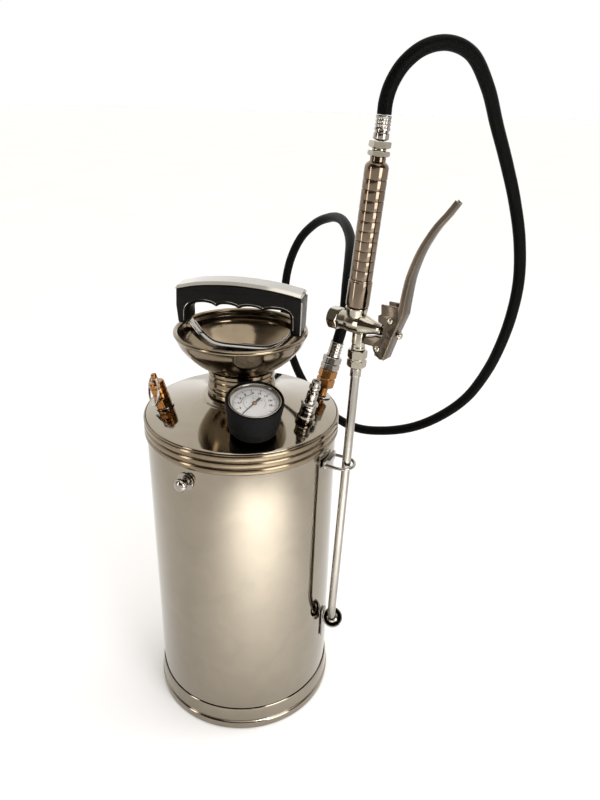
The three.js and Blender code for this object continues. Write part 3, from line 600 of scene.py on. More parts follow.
def hose():
    line = [TANK @ point for point in smooth_line(HOSE_ROUTE, 10)]
    curve = bpy.data.curves.new("hose_line", "CURVE")
    curve.dimensions = "3D"
    curve.bevel_depth = HOSE_DIAMETER / 2
    curve.bevel_resolution = 8
    curve.use_fill_caps = True
    spline = curve.splines.new("POLY")
    spline.points.add(len(line) - 1)
    for point, place in zip(spline.points, line):
        point.co = (*place, 1)
    spline.use_smooth = True
    curve.materials.append(FINISHES["hose_rubber"])
    obj = new_object("hose_line", curve)
    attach(obj, BODY_OF["hose"])
    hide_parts("hose")


hose()


# -------- tank

SEAM_AZIMUTH, SEAM_RADIUS = math.radians(97), 90.05
RIM_LOW, BEAD_PITCH = 306.2, 6.5


def tank():
    """The shell with its welded seam, the dished bottom, the foot ring and the sloping lid."""
    shell = [(88.8, 2.8), (90, 2.8), (90, 60), (90, 160), (90, 250), (90, 319), (88.8, 319)]
    piece("shell", lathe(shell, 192, 0.3), TANK, "tank_shell")
    seam_line = [(SEAM_RADIUS, 0, z) for z in range(27, 306, 9)]
    seam = moved(swept(seam_line, 0.9, 12), turn(SEAM_AZIMUTH, "Z"))
    piece("shell_seam", seam, TANK, like="tank_shell", material="seam_steel")
    bottom = [
        (0, 20), (20, 19.8), (45, 18.4), (76, 12), (88.5, 10), (88.5, 5.5), (87.3, 5.5),
        (87.3, 8.8), (75.7, 10.8), (45, 17.1), (20, 18.5), (0, 18.7),
    ]
    piece("bottom", lathe(bottom, 128, 3), TANK, "tank_bottom")
    foot = [
        (86.8, 0), (92.5, 0), (93.2, 1.2), (93.2, 7.2), (92.4, 8.6), (91.3, 9.2), (91.3, 10.4),
        (92.3, 11.4), (92.1, 14), (91.5, 22.5), (91, 25.4), (90.3, 26.4), (90.3, 2.5), (86.8, 2.5),
    ]
    piece("foot", lathe(foot, 192, 0.7), TANK, "foot_ring")
    lip = [(33.5, 1.8), (37.2, 1.6), (38.6, 0), (60, 0)]
    lid = [
        (30.8, lid_height(33) - 1.1), (30.8, lid_height(33) + 1.4),
        *[(radius, lid_height(radius) + rise) for radius, rise in lip],
        (LID_EDGE_RADIUS, LID_EDGE_HEIGHT), (89.5, 326.4), (90, 325.4), (90, 319.3), (88.8, 319.3),
        (88.8, 325), (87.6, 325.7), (38.6, lid_height(38.6) - 1.3),
    ]
    piece("lid", lathe(lid, 192, 0.9), TANK, "tank_lid")


def rim():
    """Three rolled beads round the top of the shell."""
    outline = [(90.3, RIM_LOW)]
    for bead in range(3):
        middle = RIM_LOW + (bead + 0.5) * BEAD_PITCH
        for step in range(13):
            angle = (step / 12 - 0.5) * 0.94 * math.pi
            outline.append((90.8 + 1.4 * math.cos(angle), middle + 3.18 * math.sin(angle)))
    outline.append((90.3, 325.7))
    piece("rim", lathe(outline, 192, 0), TANK, "rim_ring")


def neck():
    """The neck's tube, with its rolled beads."""
    outline = [
        (29.3, 334), (30.5, 334), (30.5, 343.5), (31.6, 345.4), (31.6, 349), (30.4, 350.2),
        (31.6, 351.4), (31.6, 354), (30.5, 355.2), (30.5, 360), (30.9, 361), (30.5, 362),
        (30.5, 365), (31.2, 366), (31.2, 369), (29.3, 369),
    ]
    piece("neck", lathe(outline, 128, 0.5), TANK, "tank_neck")


def bowl():
    """The spun filling funnel, with a rolled rim."""
    outside = smooth_line(
        [(30.5, 369.3), (32, 370.8), (41, 376.5), (50, 385), (56, 393), (59, 400)], 6
    )
    inside = smooth_line([(55.3, 399.5), (54.9, 393.6), (49, 386), (40.3, 378), (34.2, 373)], 6)
    bead = arc((58.6, 403.7), 2.2, -60, 215, 18)
    outline = [(29.3, 369.3), *outside[:-1], *bead, *inside, (29.3, 373)]
    piece("bowl", lathe(outline, 160, 0.25), TANK, "funnel_bowl", crease=40)


tank()
rim()
neck()
bowl()


# -------- pump and handle

def pump():
    """What shows of the pump: its ribbed cap, the rod, and the collar that holds the handle."""
    cap = [
        (6.3, 352), (29, 352), (29, 375.3), (33.8, 375.3), (33.8, 378.4), (31, 379),
        (17, 379.6), (15, 380), (6.3, 380),
    ]
    piece("pump_head", lathe(cap, 96, 0.7), TANK, "pump_cap")
    rib = slab(rounded([(18, 378.6), (30, 378.6), (30, 380.2), (18, 380.6)], 0.5), 2, 0.5)
    piece("pump_head_ribs", around(rib, 8), TANK, like="pump_cap")
    rod = [(0, 113), (3, 113), (3, 128), (6, 128), (6, 384.3), (0, 384.3)]
    piece("plunger_rod", lathe(rod, 64, 0.3), TANK, "pump_rod")
    hub = [(6.3, 380.3), (9, 380.3), (10, 381.5), (10, 383.3), (9, 384.3), (6.3, 384.3)]
    piece("handle_collar", lathe(hub, 64, 0.3), TANK, "handle_hub")


TOP_EDGE = [(-55, 444), (-37, 448.1), (-19, 449.9), (0, 450.5), (26, 448.8), (45, 446), (56, 443.6)]
TRIM_HEIGHT = 2.2
PLAIN_EDGE, FINGER_EDGE = 1.2, 3
SCALLOPS = [
    (47.2, 421), (46, 425.4), (41, 428.2), (33.4, 429), (26.6, 428.4), (23.1, 426.8),
    (19, 428.8), (11.1, 429.8), (5, 429), (1.1, 427.2), (-3, 429.2), (-10.6, 430.2),
    (-16, 429.3), (-19.3, 427.4), (-24, 429.6), (-31.6, 430.4), (-39, 429), (-44, 425.6), (-46.4, 420),
]
CUSPS = [SCALLOPS.index(point) for point in ((23.1, 426.8), (1.1, 427.2), (-19.3, 427.4))]


def finger_line():
    """The finger gap's scalloped top: smooth between its three cusps."""
    line = []
    stops = [0, *CUSPS, len(SCALLOPS) - 1]
    for first, last in zip(stops, stops[1:]):
        line.extend(smooth_line(SCALLOPS[first:last + 1], 5)[:-1])
    line.append(Vector(SCALLOPS[-1]))
    return line


def handle_cap(top):
    """The bright strip on the grip: wide bevels at its long edges and small ones at its ends."""
    section = [(-12.8, 0), (-12.8, 0.3), (-9.2, TRIM_HEIGHT), (9.2, TRIM_HEIGHT), (12.8, 0.3), (12.8, 0)]
    stations = [(point.x, point.y - TRIM_HEIGHT, 1) for point in top]
    (first_x, first_z, _), (last_x, last_z, _) = stations[0], stations[-1]
    stations = [
        (first_x - 0.8, first_z - 0.2, 0.35), (first_x - 0.5, first_z - 0.1, 0.7), *stations,
        (last_x + 0.6, last_z - 0.2, 0.7), (last_x + 1, last_z - 0.4, 0.35),
    ]
    return capped([
        [(x, y, low + height * share) for y, height in section] for x, low, share in stations
    ])


def handle():
    """The D-shaped grip and the bright trim on it."""
    top = smooth_line(TOP_EDGE, 6)
    piece("handle_cap", handle_cap(top), HANDLE, "handle_trim", crease=20)
    under = [point - Vector((0, TRIM_HEIGHT + 0.3)) for point in top]
    right_leg = rounded([(57.4, 436), (56.6, 406.6), (47.6, 406.6), (47.4, 412)], 2, closed=False)
    left_leg = rounded([(-46.8, 414), (-47, 410.4), (-54.4, 410.4), (-55.8, 427)], 2, closed=False)
    gap = finger_line()
    grip = [*under, *right_leg, *gap, *left_leg]
    edges = [PLAIN_EDGE] * (len(under) + len(right_leg))
    edges += [FINGER_EDGE] * len(gap) + [PLAIN_EDGE] * len(left_leg)
    piece("handle_body", slab(grip[::-1], 25.6, edges[::-1], 6), HANDLE, "handle_grip", crease=50)
    inlays(gap)


def inlays(gap):
    """Thin bright lines: round the finger gap's front and back edges, and down the right leg."""
    edge_line = inset([*gap, Vector((0, 405))], [-FINGER_EDGE] * (len(gap) + 1))[1:-2]
    foot_right = [Vector((50, 412)), Vector((50, 417))]
    foot_left = [Vector((-49, 418)), Vector((-49, 413))]
    for way, side in ((-1, "front"), (1, "back")):
        line = [(x, way * 12.7, z) for x, z in [*foot_right, *edge_line, *foot_left]]
        piece(f"handle_inlay_{side}", swept(line, 0.45, 10), HANDLE, like="handle_trim")
        leg = [(x, way * 12.1, z) for x, z in ((56.2, 408), (56.5, 418), (56.9, 429), (57.2, 438))]
        piece(f"handle_leg_line_{side}", swept(leg, 0.85, 12), HANDLE, like="handle_trim")


def yoke():
    """The polished strap under the grip, with a rib along each edge."""
    outer = smooth_line([
        (-51.6, 410.1), (-49.6, 404.5), (-45, 398.5), (-36.5, 391), (-27.5, 386.6), (-16, 385),
        (-3, 384.6), (10, 384.8), (23, 386.6), (32, 389.4), (41, 395), (46.8, 400.6), (51.4, 406.3),
    ], 5)
    inner = smooth_line([
        (46.2, 406.3), (43.2, 402.6), (37.4, 396), (28.9, 390.6), (20, 388.4), (7.3, 387.9),
        (-6, 387.9), (-18.9, 388.2), (-27.7, 390.2), (-36.3, 396.5), (-41.8, 403), (-46.8, 410.1),
    ], 5)
    piece("yoke_bow", slab([*outer, *inner], 11, 1.2, 5), HANDLE, "handle_yoke", crease=50)
    for y, side in ((-4.3, "front"), (4.3, "back")):
        rib = [(x, y, z + 0.1) for x, z in inner[2:-2]]
        piece(f"yoke_rib_{side}", swept(rib, 0.9, 14), HANDLE, like="handle_yoke")


pump()
handle()
yoke()


# -------- gauge

DIAL_TOP = 31.1
DIAL_SWEEP = 270


def dial_angle(share):
    """Where a share of the scale is, measured so that twelve o'clock is towards the tank."""
    return math.pi + math.radians(135 - DIAL_SWEEP * share)


def on_dial(angle, radius):
    return radius * math.cos(angle), radius * math.sin(angle)


def tick(share, low, high, width):
    """A printed bar from one radius to another."""
    angle = dial_angle(share)
    bar = slab(rounded([(low, 0), (high, 0), (high, 0.12), (low, 0.12)], 0.02, 1), width, 0.03, 1)
    return moved(bar, shift(0, 0, DIAL_TOP + 0.02) @ turn(angle, "Z"))


def ring_mark(radius, width, first, last):
    """A printed arc between two shares of the scale."""
    points = [on_dial(dial_angle(first + (last - first) * i / 40), radius) for i in range(41)]
    return swept([(x, y, DIAL_TOP + 0.08) for x, y in points], width / 2, 8, flat=0.3)


def dial_number(text, share, radius, size):
    """One generic number of the scale, printed upright on the dial."""
    curve = bpy.data.curves.new("number", "FONT")
    curve.body = text
    curve.size = size
    curve.align_x = "CENTER"
    curve.align_y = "CENTER"
    curve.extrude = 0.05
    curve.offset = 0.1
    holder = bpy.data.objects.new("number", curve)
    mesh = bpy.data.meshes.new_from_object(holder)
    bpy.data.objects.remove(holder)
    x, y = on_dial(dial_angle(share), radius)
    place = shift(x, y, DIAL_TOP + 0.07) @ turn(math.pi / 2, "Z")
    corners = [tuple(place @ vertex.co) for vertex in mesh.vertices]
    return corners, [list(polygon.vertices) for polygon in mesh.polygons]


def dial_print():
    """An outer scale of fifty parts and an inner one of twenty, with a band between them."""
    marks = []
    for step in range(51):
        long = step % 5 == 0
        marks.append(tick(step / 50, 15.4 if long else 17, 18.6, 0.5 if long else 0.26))
    marks.append(ring_mark(18.7, 0.25, 0, 1))
    marks.append(ring_mark(11.6, 1.2, 0.2, 0.5))
    for step in range(21):
        marks.append(tick(step / 20, 9.2, 10.3, 0.16))
    marks.append(ring_mark(9.1, 0.18, 0, 1))
    piece("dial_marks", together(*marks), GAUGE, like="gauge_dial", material="print_black")
    numbers = [dial_number(str(step * 2), step / 10, 13.4, 3.3) for step in range(1, 10)]
    numbers += [dial_number(str(step), step / 4, 6.9, 1.7) for step in range(1, 4)]
    piece("dial_numbers", together(*numbers), GAUGE, like="gauge_dial", material="print_black")


def gauge():
    """The pressure gauge in its rubber boot, with its needle at zero."""
    stem = together(tube(0, 4.7, -7, 0.7), hex_nut(8, 0.5, 3.6, 3), tube(0, 4.6, 3.4, 9))
    piece("gauge_shank", stem, GAUGE, "gauge_stem")
    boot = [
        (9, 4), (19.4, 4), (21.3, 5.4), (22.3, 13), (22.9, 13.6), (23.1, 16.4), (22.9, 17),
        (24.5, 29), (24.8, 31), (24.8, 35.2), (23.9, 36.2), (23.2, 35.4), (23.2, 31),
        (19.9, 8), (19.6, 5.7), (9, 5.7),
    ]
    piece("rubber_boot", lathe(boot, 128, 0.7), GAUGE, "gauge_boot")
    piece("dial", tube(1.2, 21.8, 30.3, DIAL_TOP, 96, 0.1), GAUGE, "gauge_dial")
    dial_print()
    bezel = [
        (22.1, 30.3), (22.9, 30.3), (22.9, 34.5), (22.3, 35.3), (21.4, 35.3), (20.6, 34.8),
        (20.4, 34.3), (22.1, 34.2),
    ]
    piece("bezel", lathe(bezel, 128, 0.35), GAUGE, "gauge_bezel")
    lens = [(0, 32.9), (21.8, 32.9), (21.8, 34), (0, 34.05)]
    piece("lens", lathe(lens, 96, 0.3), GAUGE, "gauge_lens")
    needle = rounded([
        (17, 0.3), (1.8, 0.55), (-3, 0.6), (-3.4, 1.1), (-8, 1.3), (-8, -1.3), (-3.4, -1.1),
        (-3, -0.6), (1.8, -0.55), (17, -0.3),
    ], 0.1, 2)
    blade = moved(slab(needle, 0.5, 0.1, 2), turn(math.pi / 2, "X"))
    rest = GAUGE @ shift(0, 0, DIAL_TOP + 0.75) @ turn(dial_angle(0), "Z")
    piece("needle", blade, rest, "gauge_pointer")
    hub = [(0, -2.8), (0.8, -2.8), (0.8, -0.4), (2.1, -0.4), (2.1, 0.35), (1.1, 0.75), (0, 0.8)]
    piece("needle_hub", lathe(hub, 32, 0.1), rest, like="gauge_pointer", material="fitting_brass")


gauge()


# -------- fittings on the lid

def safety_valve():
    """The brass relief valve, with its pin and pull ring."""
    barrel = lathe([
        (5, 10.9), (7.3, 10.9), (7.3, 14.6), (6.7, 15.1), (6.7, 15.9), (7.3, 16.4), (7.3, 21.2),
        (6.6, 21.5), (6.6, 22.1), (7.3, 22.5), (7.3, 25.6), (6.4, 27), (2.3, 27), (2.3, 24.4), (5, 24.4),
    ], 72)
    body = together(tube(1.8, 4.7, -7, 0.7), hex_nut(8.25, 1.5, 11, 5), barrel)
    piece("relief_body", body, SAFETY, "safety_body")
    piece("relief_washer", tube(4.8, 8.6, 0.3, 1.4, 64), SAFETY, like="outlet_nut_lower")
    stem = lathe([
        (0, 5.3), (4.6, 5.3), (4.6, 7), (2, 7), (2, 28), (2.7, 28.8), (2.7, 34), (2, 34.8), (0, 34.8),
    ], 48)
    piece("relief_pin", stem, SAFETY, "safety_stem")
    piece("split_ring", split_ring(13.2, 0.72, 1.92), RING_HOLE, "safety_ring")


def split_ring(radius, wire, turns):
    """A sprung key ring that hangs from the origin, leaning out."""
    count = 149
    line = []
    for step in range(count + 1):
        angle = 2 * math.pi * turns * step / count
        side = (step / count - 0.5) * 1.5
        line.append((side, radius * math.sin(angle), radius * math.cos(angle) - radius))
    return moved(swept(line, wire, 12), turn(-RING_LEAN, "Y"))


def air_inlet():
    """The nipple for charging the tank from an air line."""
    base = lathe([
        (2.4, -7), (4.7, -7), (4.7, 0.3), (6, 0.3), (6, 2), (8.25, 2), (8.25, 5), (7.2, 5.6),
        (7, 7), (7, 11.2), (6.5, 11.7), (6.5, 12.3), (7, 12.8), (7, 16.5), (2.4, 16.5),
    ], 72)
    piece("air_base", base, INLET, "inlet_base")
    plug = lathe([
        (2.4, 16.8), (7.5, 16.8), (7.5, 19.3), (5, 19.6), (5, 22.6), (4.6, 23), (4.6, 23.6),
        (5, 24), (5, 30), (3.9, 31.5), (3.9, 33), (5, 34.4), (5, 37), (4, 37.8), (4, 42),
        (2, 42), (2, 40), (1.3, 39), (1.3, 36), (2.4, 35),
    ], 72)
    piece("air_plug", plug, INLET, "inlet_plug")
    outline = rounded([(7.2, 17.2), (7.75, 17.3), (7.75, 18.9), (7.2, 19)], 0.15, 2)
    piece("air_plug_knurl", around(slab(outline, 0.6, 0.15, 2), 36), INLET, like="inlet_plug")


def outlet():
    """The brass outlet, two nuts and the hose's lower ferrule."""
    fitting = together(
        lathe([(2.2, -7), (4.7, -7), (4.7, 1.2), (5.6, 1.5), (4.75, 2), (4.75, 10.6), (2.2, 10.6)], 48),
        hex_nut(9.2, 10.5, 19.6, 2.2), tube(2.2, 7.4, 19.4, 20.6), hex_nut(9.2, 20.4, 28.5, 2.2),
    )
    piece("outlet_elbow", fitting, OUTLET, "outlet_fitting")
    piece("outlet_washer", tube(4.9, 9.6, 0.3, 1.2, 64), OUTLET, like="outlet_nut_lower")
    piece("nut_lower", hex_nut(9.3, 28.8, 35, 3), OUTLET, "outlet_nut_lower")
    piece("nut_upper", hex_nut(9.3, 35.3, 42, 3), OUTLET, "outlet_nut_upper")
    piece("hose_ferrule_low", crimped(6.5, 42.3, 57, 2.2, 4), OUTLET, "outlet_ferrule")


def crimped(radius, low, high, bore, crimps):
    """A ferrule pressed onto a hose: shallow rings and eight flats from the tool."""
    outline = [(bore, low), (radius, low)]
    pitch = (high - low - 3) / crimps
    for k in range(crimps):
        start = low + 1.5 + k * pitch
        outline.append((radius, start))
        outline += [(radius - 0.5, start + share * pitch) for share in (0.3, 0.7)]
    outline += [(radius, high - 1), (radius - 0.3, high), (bore, high)]
    corners, faces = lathe(outline, 96, 0.35)
    pressed = []
    for x, y, z in corners:
        reach = math.hypot(x, y)
        if reach > bore + 0.5:
            ease = 1 - 0.025 * (1 + math.cos(8 * math.atan2(y, x))) * (low + 1 < z < high - 1)
            x, y = x * ease, y * ease
        pressed.append((x, y, z))
    return pressed, faces


safety_valve()
air_inlet()
outlet()


# -------- spray gun

GROOVES, GROOVE_LOW, GROOVE_PITCH = 11, 23.2, 7.75


def gun_grip():
    """The ringed metal grip, and the nuts and ferrule that join the hose to it."""
    outline = [(3, 0.3), (8.9, 0.3), (9.75, 1.4), (9.75, 21.6), (9.25, 22.2)]
    for groove in range(GROOVES):
        low = GROOVE_LOW + groove * GROOVE_PITCH
        outline += [(9.25, low), (8.75, low + 0.25), (8.75, low + 0.45), (9.25, low + 0.7)]
    outline += [(9.25, 110.2), (8.2, 112.2), (7, 113.2), (6, 114), (6, 117.2), (3, 117.2)]
    piece("grip", lathe(outline, 96, 0.12), GRIP, "gun_grip")
    lower = together(hex_nut(8.5, 117.5, 121.6, 3), tube(3, 5.4, 121.5, 123))
    piece("grip_nut_low", lower, GRIP, "gun_nut_lower")
    piece("grip_nut_high", hex_nut(8.5, 123.3, 128.4, 3), GRIP, "gun_nut_upper")
    tail = [(2, 128.7), (4.6, 128.7), (6, 129.6), (6, 133.6), (5.3, 134.2), (5.3, 135.8), (2, 135.8)]
    ferrule = together(lathe(tail, 64), crimped(6.1, 135.6, 145.9, 2, 3))
    piece("hose_ferrule_high", ferrule, GRIP, "gun_ferrule")


def valve():
    """The spray valve's crosswise barrel, its bosses to the wand and the grip, and its end cap."""
    barrel = [
        (3.3, -19.2), (8, -19.2), (8, -12), (8.5, -10), (8.85, -7.4), (8.95, -3), (8.85, 2),
        (7.9, 5.6), (6.3, 10), (5.3, 14), (4.9, 18), (4.8, 20.6), (4.2, 21.5), (1.9, 21.5),
        (1.9, 8), (3.3, 8),
    ]
    piece("valve_barrel", lathe(barrel, 96, 0.9), BARREL, "valve_body")
    boss = [
        (2.2, 406), (6, 406), (6, 408.4), (5.7, 408.8), (5.7, 411), (6, 411.4), (6, 421), (2.2, 421),
    ]
    piece("valve_boss", lathe(boss, 64), WAND, like="valve_body")
    link = [(2.2, 433.5), (8.2, 433.5), (8.8, 437.4), (9.5, 441), (9.3, 441.7), (2.2, 441.7)]
    piece("valve_link", lathe(link, 72, 0.6), WAND @ shift(GRIP_FOOT[0], 0, 0), like="valve_body")
    cap = together(hex_nut(9.85, -29, -19.5, 0.8), tube(0, 6.4, -28.6, -27))
    piece("valve_end", cap, BARREL, "valve_cap")


LEVER_SHEET = 1.4
LEVER_BACK = [
    (28.3, 405), (34, 425), (40.8, 445), (41.3, 455), (42, 465), (43.2, 475), (45.6, 485),
    (48.8, 495), (53.3, 505), (58.9, 515), (66.2, 525), (72, 534),
]


def beside(line, distance):
    """An open line of [x, z] points moved square to itself, towards the grip."""
    result = []
    for i, point in enumerate(line):
        along = (line[min(i + 1, len(line) - 1)] - line[max(i - 1, 0)]).normalized()
        result.append(point + Vector((-along.y, along.x)) * distance)
    return result


def lever_half_width(height):
    """Full at the pivot, narrow at the tip."""
    return 7 - 4 * share_of(height, 460, 536)


def flange_depth(height):
    """The channel's sides: deep by the pivot, narrow flanges above."""
    return 9 - 4.7 * share_of(height, 440, 452)


def lever_channel():
    """The trigger: a pressed channel whose rounded back and two flanges taper to the tip."""
    upper = smooth_line(LEVER_BACK[2:], 5)
    lower = [Vector(point) for point in (LEVER_BACK[0], (31.2, 415), LEVER_BACK[1], (37.6, 435.5))]
    back = [*lower, *upper]
    soft, sheet = 1.2, LEVER_SHEET
    rows = []
    for i, (point, inner) in enumerate(zip(back, beside(back, sheet))):
        half = lever_half_width(point.y)
        deep = flange_depth(point.y)
        along = (inner - point).normalized()
        section = [
            (deep, -half), (soft, -half), (0.35 * soft, -half + 0.35 * soft), (0, -half + soft),
            (0, half - soft), (0.35 * soft, half - 0.35 * soft), (soft, half), (deep, half),
            (deep, half - sheet), (sheet, half - sheet), (sheet, sheet - half), (deep, sheet - half),
        ]
        rows.append([(point.x + along.x * d, y, point.y + along.y * d) for d, y in section])
    return capped(rows)


def cheek(way):
    """One side plate of the trigger's foot, with a stepped inner edge."""
    outline = rounded([
        (36, 451.5), (21, 450.8), (22.1, 442.4), (19.3, 441.3), (19.9, 436), (25.2, 434.4),
        (25.1, 428), (24.2, 422.5), (18.3, 417), (17.3, 413), (19.5, 409.4), (24.5, 405),
        (27.6, 405.4), (33, 424.5), (38.4, 441),
    ], 1.1)
    return moved(slab(outline, LEVER_SHEET, 0.3, 2), shift(0, way * 6.3, 0))


def cross_pin(place, radius, head):
    """A pin through both cheeks, with a domed head at each end."""
    x, z = place
    pin = moved(tube(0, radius, -7.6, 7.6, 32, 0.2), shift(x, 0, z) @ turn(math.pi / 2, "X"))
    outline = [(0, 0), (head, 0), (head, 0.5), (head * 0.75, 1.2), (head * 0.35, 1.5), (0, 1.6)]
    dome = lathe(outline, 40, 0.2)
    heads = [moved(dome, shift(x, way * 7.2, z) @ turn(-way * math.pi / 2, "X")) for way in (-1, 1)]
    return together(pin, *heads)


def lever():
    """The trigger with its pins and setting screw, and the bracket that it turns on."""
    piece("trigger", together(lever_channel(), cheek(-1), cheek(1)), WAND, "lever", crease=40)
    piece("trigger_pivot", cross_pin((21.3, 413.6), 1.8, 2.7), WAND, "lever_pivot_pin")
    piece("trigger_bolt", cross_pin((30.1, 439.3), 1.6, 2.9), WAND, "lever_bolt")
    screw = [
        (0, 24.5), (1, 24.5), (1.9, 25.6), (1.9, 36.4), (3.2, 36.4), (3.2, 37.6), (2.2, 38.8), (0, 38.8),
    ]
    screw_place = WAND @ shift(0, 0, 427) @ turn(math.pi / 2, "Y")
    piece("trigger_screw", lathe(screw, 40, 0.2), screw_place, "lever_screw")
    bracket = rounded([
        (6.4, 413.2), (6.4, 419), (11, 420.2), (16, 422.2), (22.4, 422.4), (24.4, 418),
        (24.6, 413.4), (23.4, 411), (21.3, 410.2), (18.4, 411.4), (15.5, 413.2),
    ], 1.2)
    piece("trigger_bracket", slab(bracket, 8, 0.7, 3), WAND, "lever_bracket")


gun_grip()
valve()
lever()


# -------- springs

FLAT_TURNS = 0.75


def coil(radius, wire, low, high, turns):
    """A compression spring about Z, whose ends lie flat for most of a turn."""
    count = 28 * turns
    line = []
    for step in range(count + 1):
        turned = turns * step / count
        angle = 2 * math.pi * turned
        rise = share_of(turned, FLAT_TURNS, turns - FLAT_TURNS)
        height = low + wire + (high - low - 2 * wire) * rise
        line.append((radius * math.cos(angle), radius * math.sin(angle), height))
    return swept(line, wire, 10)


def spring(name, node, place, shape):
    """A coil between a fixed end and a valve, with a mesh of its own."""
    obj = piece(name, shape, place, node)
    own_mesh(obj)


def springs():
    """The relief valve's spring and the spray valve's."""
    low, high, travel = 7.3, 24.1, 3
    spring("relief_spring", "safety_spring", SAFETY, coil(3.4, 0.5, low, high, 6))
    low, high, travel = -16.1, -6.3, 4.5
    spring("spray_spring", "valve_spring", BARREL, coil(2.3, 0.4, low, high, 5))


springs()


# -------- wand

BEND_START, BEND_RADIUS, BEND_ANGLE = 131.5, 35, math.radians(40)
BEND_AZIMUTH = math.radians(76)


def tip_line():
    """The wand's bent end in the tank's frame: a function of angle, and its last direction."""
    start = WAND_FOOT + WAND_UP * BEND_START
    back = Vector((math.cos(BEND_AZIMUTH), math.sin(BEND_AZIMUTH), 0))
    back = (back - WAND_UP * back.dot(WAND_UP)).normalized()

    def at(angle):
        return start + back * BEND_RADIUS * (1 - math.cos(angle)) - WAND_UP * BEND_RADIUS * math.sin(angle)

    along = back * math.sin(BEND_ANGLE) - WAND_UP * math.cos(BEND_ANGLE)
    return at, along


TIP_AT, TIP_ALONG = tip_line()


def on_tip(distance):
    """Z runs out along the wand's end, from a distance past its bend."""
    turned_to = Vector((0, 0, 1)).rotation_difference(TIP_ALONG).to_matrix().to_4x4()
    return TANK @ Matrix.Translation(TIP_AT(BEND_ANGLE) + TIP_ALONG * distance) @ turned_to


def wand():
    """The lance with its collar, nut and nozzle."""
    straight = [WAND_FOOT + WAND_UP * s for s in (405.6, 330, 250, 180, 140)]
    bend = [TIP_AT(BEND_ANGLE * k / 16) for k in range(17)]
    line = [*straight, *bend, TIP_AT(BEND_ANGLE) + TIP_ALONG * 3]
    piece("lance", swept(line, 4, 48), TANK, "wand_tube")
    collar = lathe([(4.05, 381.5), (4.8, 381.5), (4.8, 389), (4.05, 389.6)], 64, 0.3)
    piece("lance_collar", collar, WAND, like="wand_tube")
    nozzle = lathe([
        (1.2, 0.3), (4, 0.3), (5.6, 1.4), (5.6, 4.4), (5.2, 4.8), (5.2, 5.4), (5.6, 5.8), (5.6, 10),
        (3.6, 12), (1.2, 12),
    ], 64)
    piece("nozzle_tip", nozzle, on_tip(3), "wand_nozzle")
    nut = together(
        hex_nut(8.5, 390.4, 397, 4.3), tube(4.3, 7.2, 396.7, 398.5, 64),
        hex_nut(8.5, 398.2, 405.7, 4.3),
    )
    piece("lance_nut", nut, WAND, "wand_nut")


wand()


# -------- holders on the shell

def loop():
    """The wire loop that holds the wand upright, on its plate."""
    bow = [(92.7, -11), *arc((105, 0), 11, -90, 90, 24), (92.7, 11)]
    wire = swept(smooth_line([(x, y, 294) for x, y in bow], 3), 1.5, 20)
    plate = rounded([(90.6, 289.8), (93.4, 289.8), (93.4, 298.2), (90.6, 298.2)], 0.6)
    piece("loop", together(wire, slab(plate, 24, 0.6, 3)), LOOP, "wand_loop")
    lip = rounded([(92.6, 296.8), (96.2, 297.4), (96, 298.6), (92.4, 298.2)], 0.4)
    piece("loop_lip", slab(lip, 15, 0.4, 2), LOOP, like="wand_loop")


def cup():
    """The cup that the wand's end stands in, and its strap on the shell."""
    outline = [
        (0, 12), (5, 12), (8.4, 10.2), (10, 7), (10, 0.8), (10.3, 0), (8.9, 0), (9, 6.6),
        (7.6, 9.2), (4.6, 10.8), (0, 10.8),
    ]
    piece("cup", lathe(outline, 96, 0.5), on_tip(5), "wand_cup")
    x, y, z = (TANK.inverted() @ on_tip(5)).translation
    strap_turn = TANK @ turn(math.atan2(y, x) + math.radians(2), "Z")
    outline = rounded([
        (90.3, z - 29), (92.1, z - 29), (92.1, z - 2), (93, z + 3), (92.4, z + 5), (90.3, z + 5),
    ], 0.8)
    piece("cup_strap", slab(outline, 9, 0.6, 3), strap_turn, "wand_cup_bracket")


def stud():
    """The knob for a carrying strap."""
    outline = [
        (0, 90.5), (3, 90.5), (3, 94), (5.4, 95.2), (6, 96.8), (6, 99), (5, 100.6), (2.6, 101.6), (0, 101.8),
    ]
    piece("stud", lathe(outline, 64, 0.6), STUD, "strap_stud")
    piece("stud_plate", tube(3.2, 8.4, 90.2, 91.4, 64, 0.3), STUD, like="strap_stud")


loop()
cup()
stud()


# -------- carried-over nodes

for node, obj in frame["nodes"].items():
    obj.data.materials.clear()
    obj.data.materials.append(FINISHES[SLOT_OF[node]])


# -------- stage and light

FLOOR_REACH = 14


def stage_floor():
    """Plain pale paper, just under the sprayer's foot."""
    nodes = Finish()
    paper = nodes.done({
        "Base Color": nodes.ramp(nodes.noise(3, detail=2), [(0.3, (0.88,) * 3), (0.7, (0.9,) * 3)]),
        "Roughness": 0.9,
    })
    paper.name = "floor_paper"
    mesh = bpy.data.meshes.new("floor")
    low, high = -FLOOR_REACH, FLOOR_REACH
    mesh.from_pydata([(low, low, 0), (high, low, 0), (high, high, 0), (low, high, 0)], [], [range(4)])
    mesh.materials.append(paper)
    floor = new_object("floor", mesh)
    floor.location.z = -0.0005


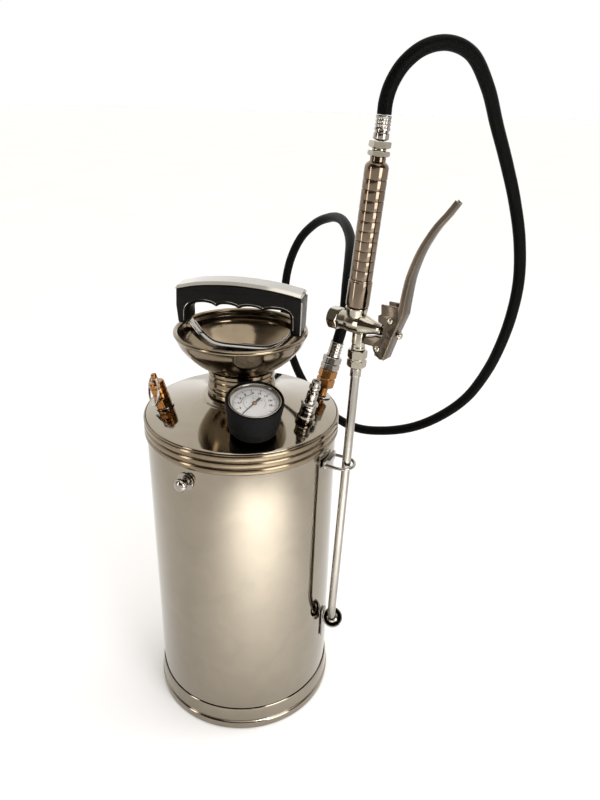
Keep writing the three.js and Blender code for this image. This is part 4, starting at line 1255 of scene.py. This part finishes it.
def soft_light(name, place, target, size, power, color=(1, 1, 1), spread=180):
    """A soft box at a place, turned to a target."""
    data = bpy.data.lights.new(name, "AREA")
    data.shape = "RECTANGLE"
    data.size, data.size_y = size
    data.energy = power
    data.color = color
    data.spread = math.radians(spread)
    light = new_object(name, data)
    light.location = place
    light.rotation_euler = (Vector(target) - Vector(place)).to_track_quat("-Z", "Y").to_euler()
    light.visible_camera = False


def room():
    """Lit by a bright wall behind the sprayer and a dim warm room before it, but seen as white."""
    world = bpy.data.worlds.new("room")
    nodes = Nodes(world)
    place = nodes.add("ShaderNodeTexCoord").outputs["Generated"]
    depth = nodes.add("ShaderNodeSeparateXYZ", {"Vector": place}).outputs["Y"]
    spread = nodes.add("ShaderNodeMapRange", {"Value": depth, "From Min": -1})
    shade = nodes.ramp(spread.outputs["Result"], [
        (0, (0.07, 0.05, 0.035)), (0.3, (0.035, 0.027, 0.02)), (0.5, (0.2, 0.18, 0.16)),
        (0.62, (0.8, 0.77, 0.73)), (1, (1, 1, 1)),
    ])
    lit = nodes.fill(nodes.tree.nodes["Background"], {"Color": shade, "Strength": 1.6})
    white = nodes.add("ShaderNodeBackground", {"Color": (1, 1, 1, 1)})
    seen = nodes.add("ShaderNodeLightPath").outputs["Is Camera Ray"]
    either = nodes.add("ShaderNodeMixShader", {0: seen, 1: lit.outputs[0], 2: white.outputs[0]})
    nodes.fill(nodes.tree.nodes["World Output"], {"Surface": either.outputs[0]})
    bpy.context.scene.world = world


def studio():
    """A wide soft ceiling, a glow on the floor in front, and a window to each side."""
    bpy.context.scene.view_settings.view_transform = "Standard"
    sun_data = bpy.data.lights.new("ceiling", "SUN")
    sun_data.energy = 1.45
    sun_data.angle = math.radians(60)
    sun = new_object("ceiling", sun_data)
    sun.rotation_euler = (math.radians(10), math.radians(12), 0)
    soft_light("floor_glow", (0.36, -0.85, 0.9), (0.14, -0.45, 0), (0.5, 0.3), 2.4, spread=30)
    soft_light("right_window", (1.05, -1.25, 0.65), (0.05, 0, 0.4), (0.8, 1.2), 19)
    soft_light("left_window", (-1.4, -0.9, 0.5), (0, 0, 0.4), (0.25, 1.3), 6, (1, 0.95, 0.9))


stage_floor()
room()
studio()
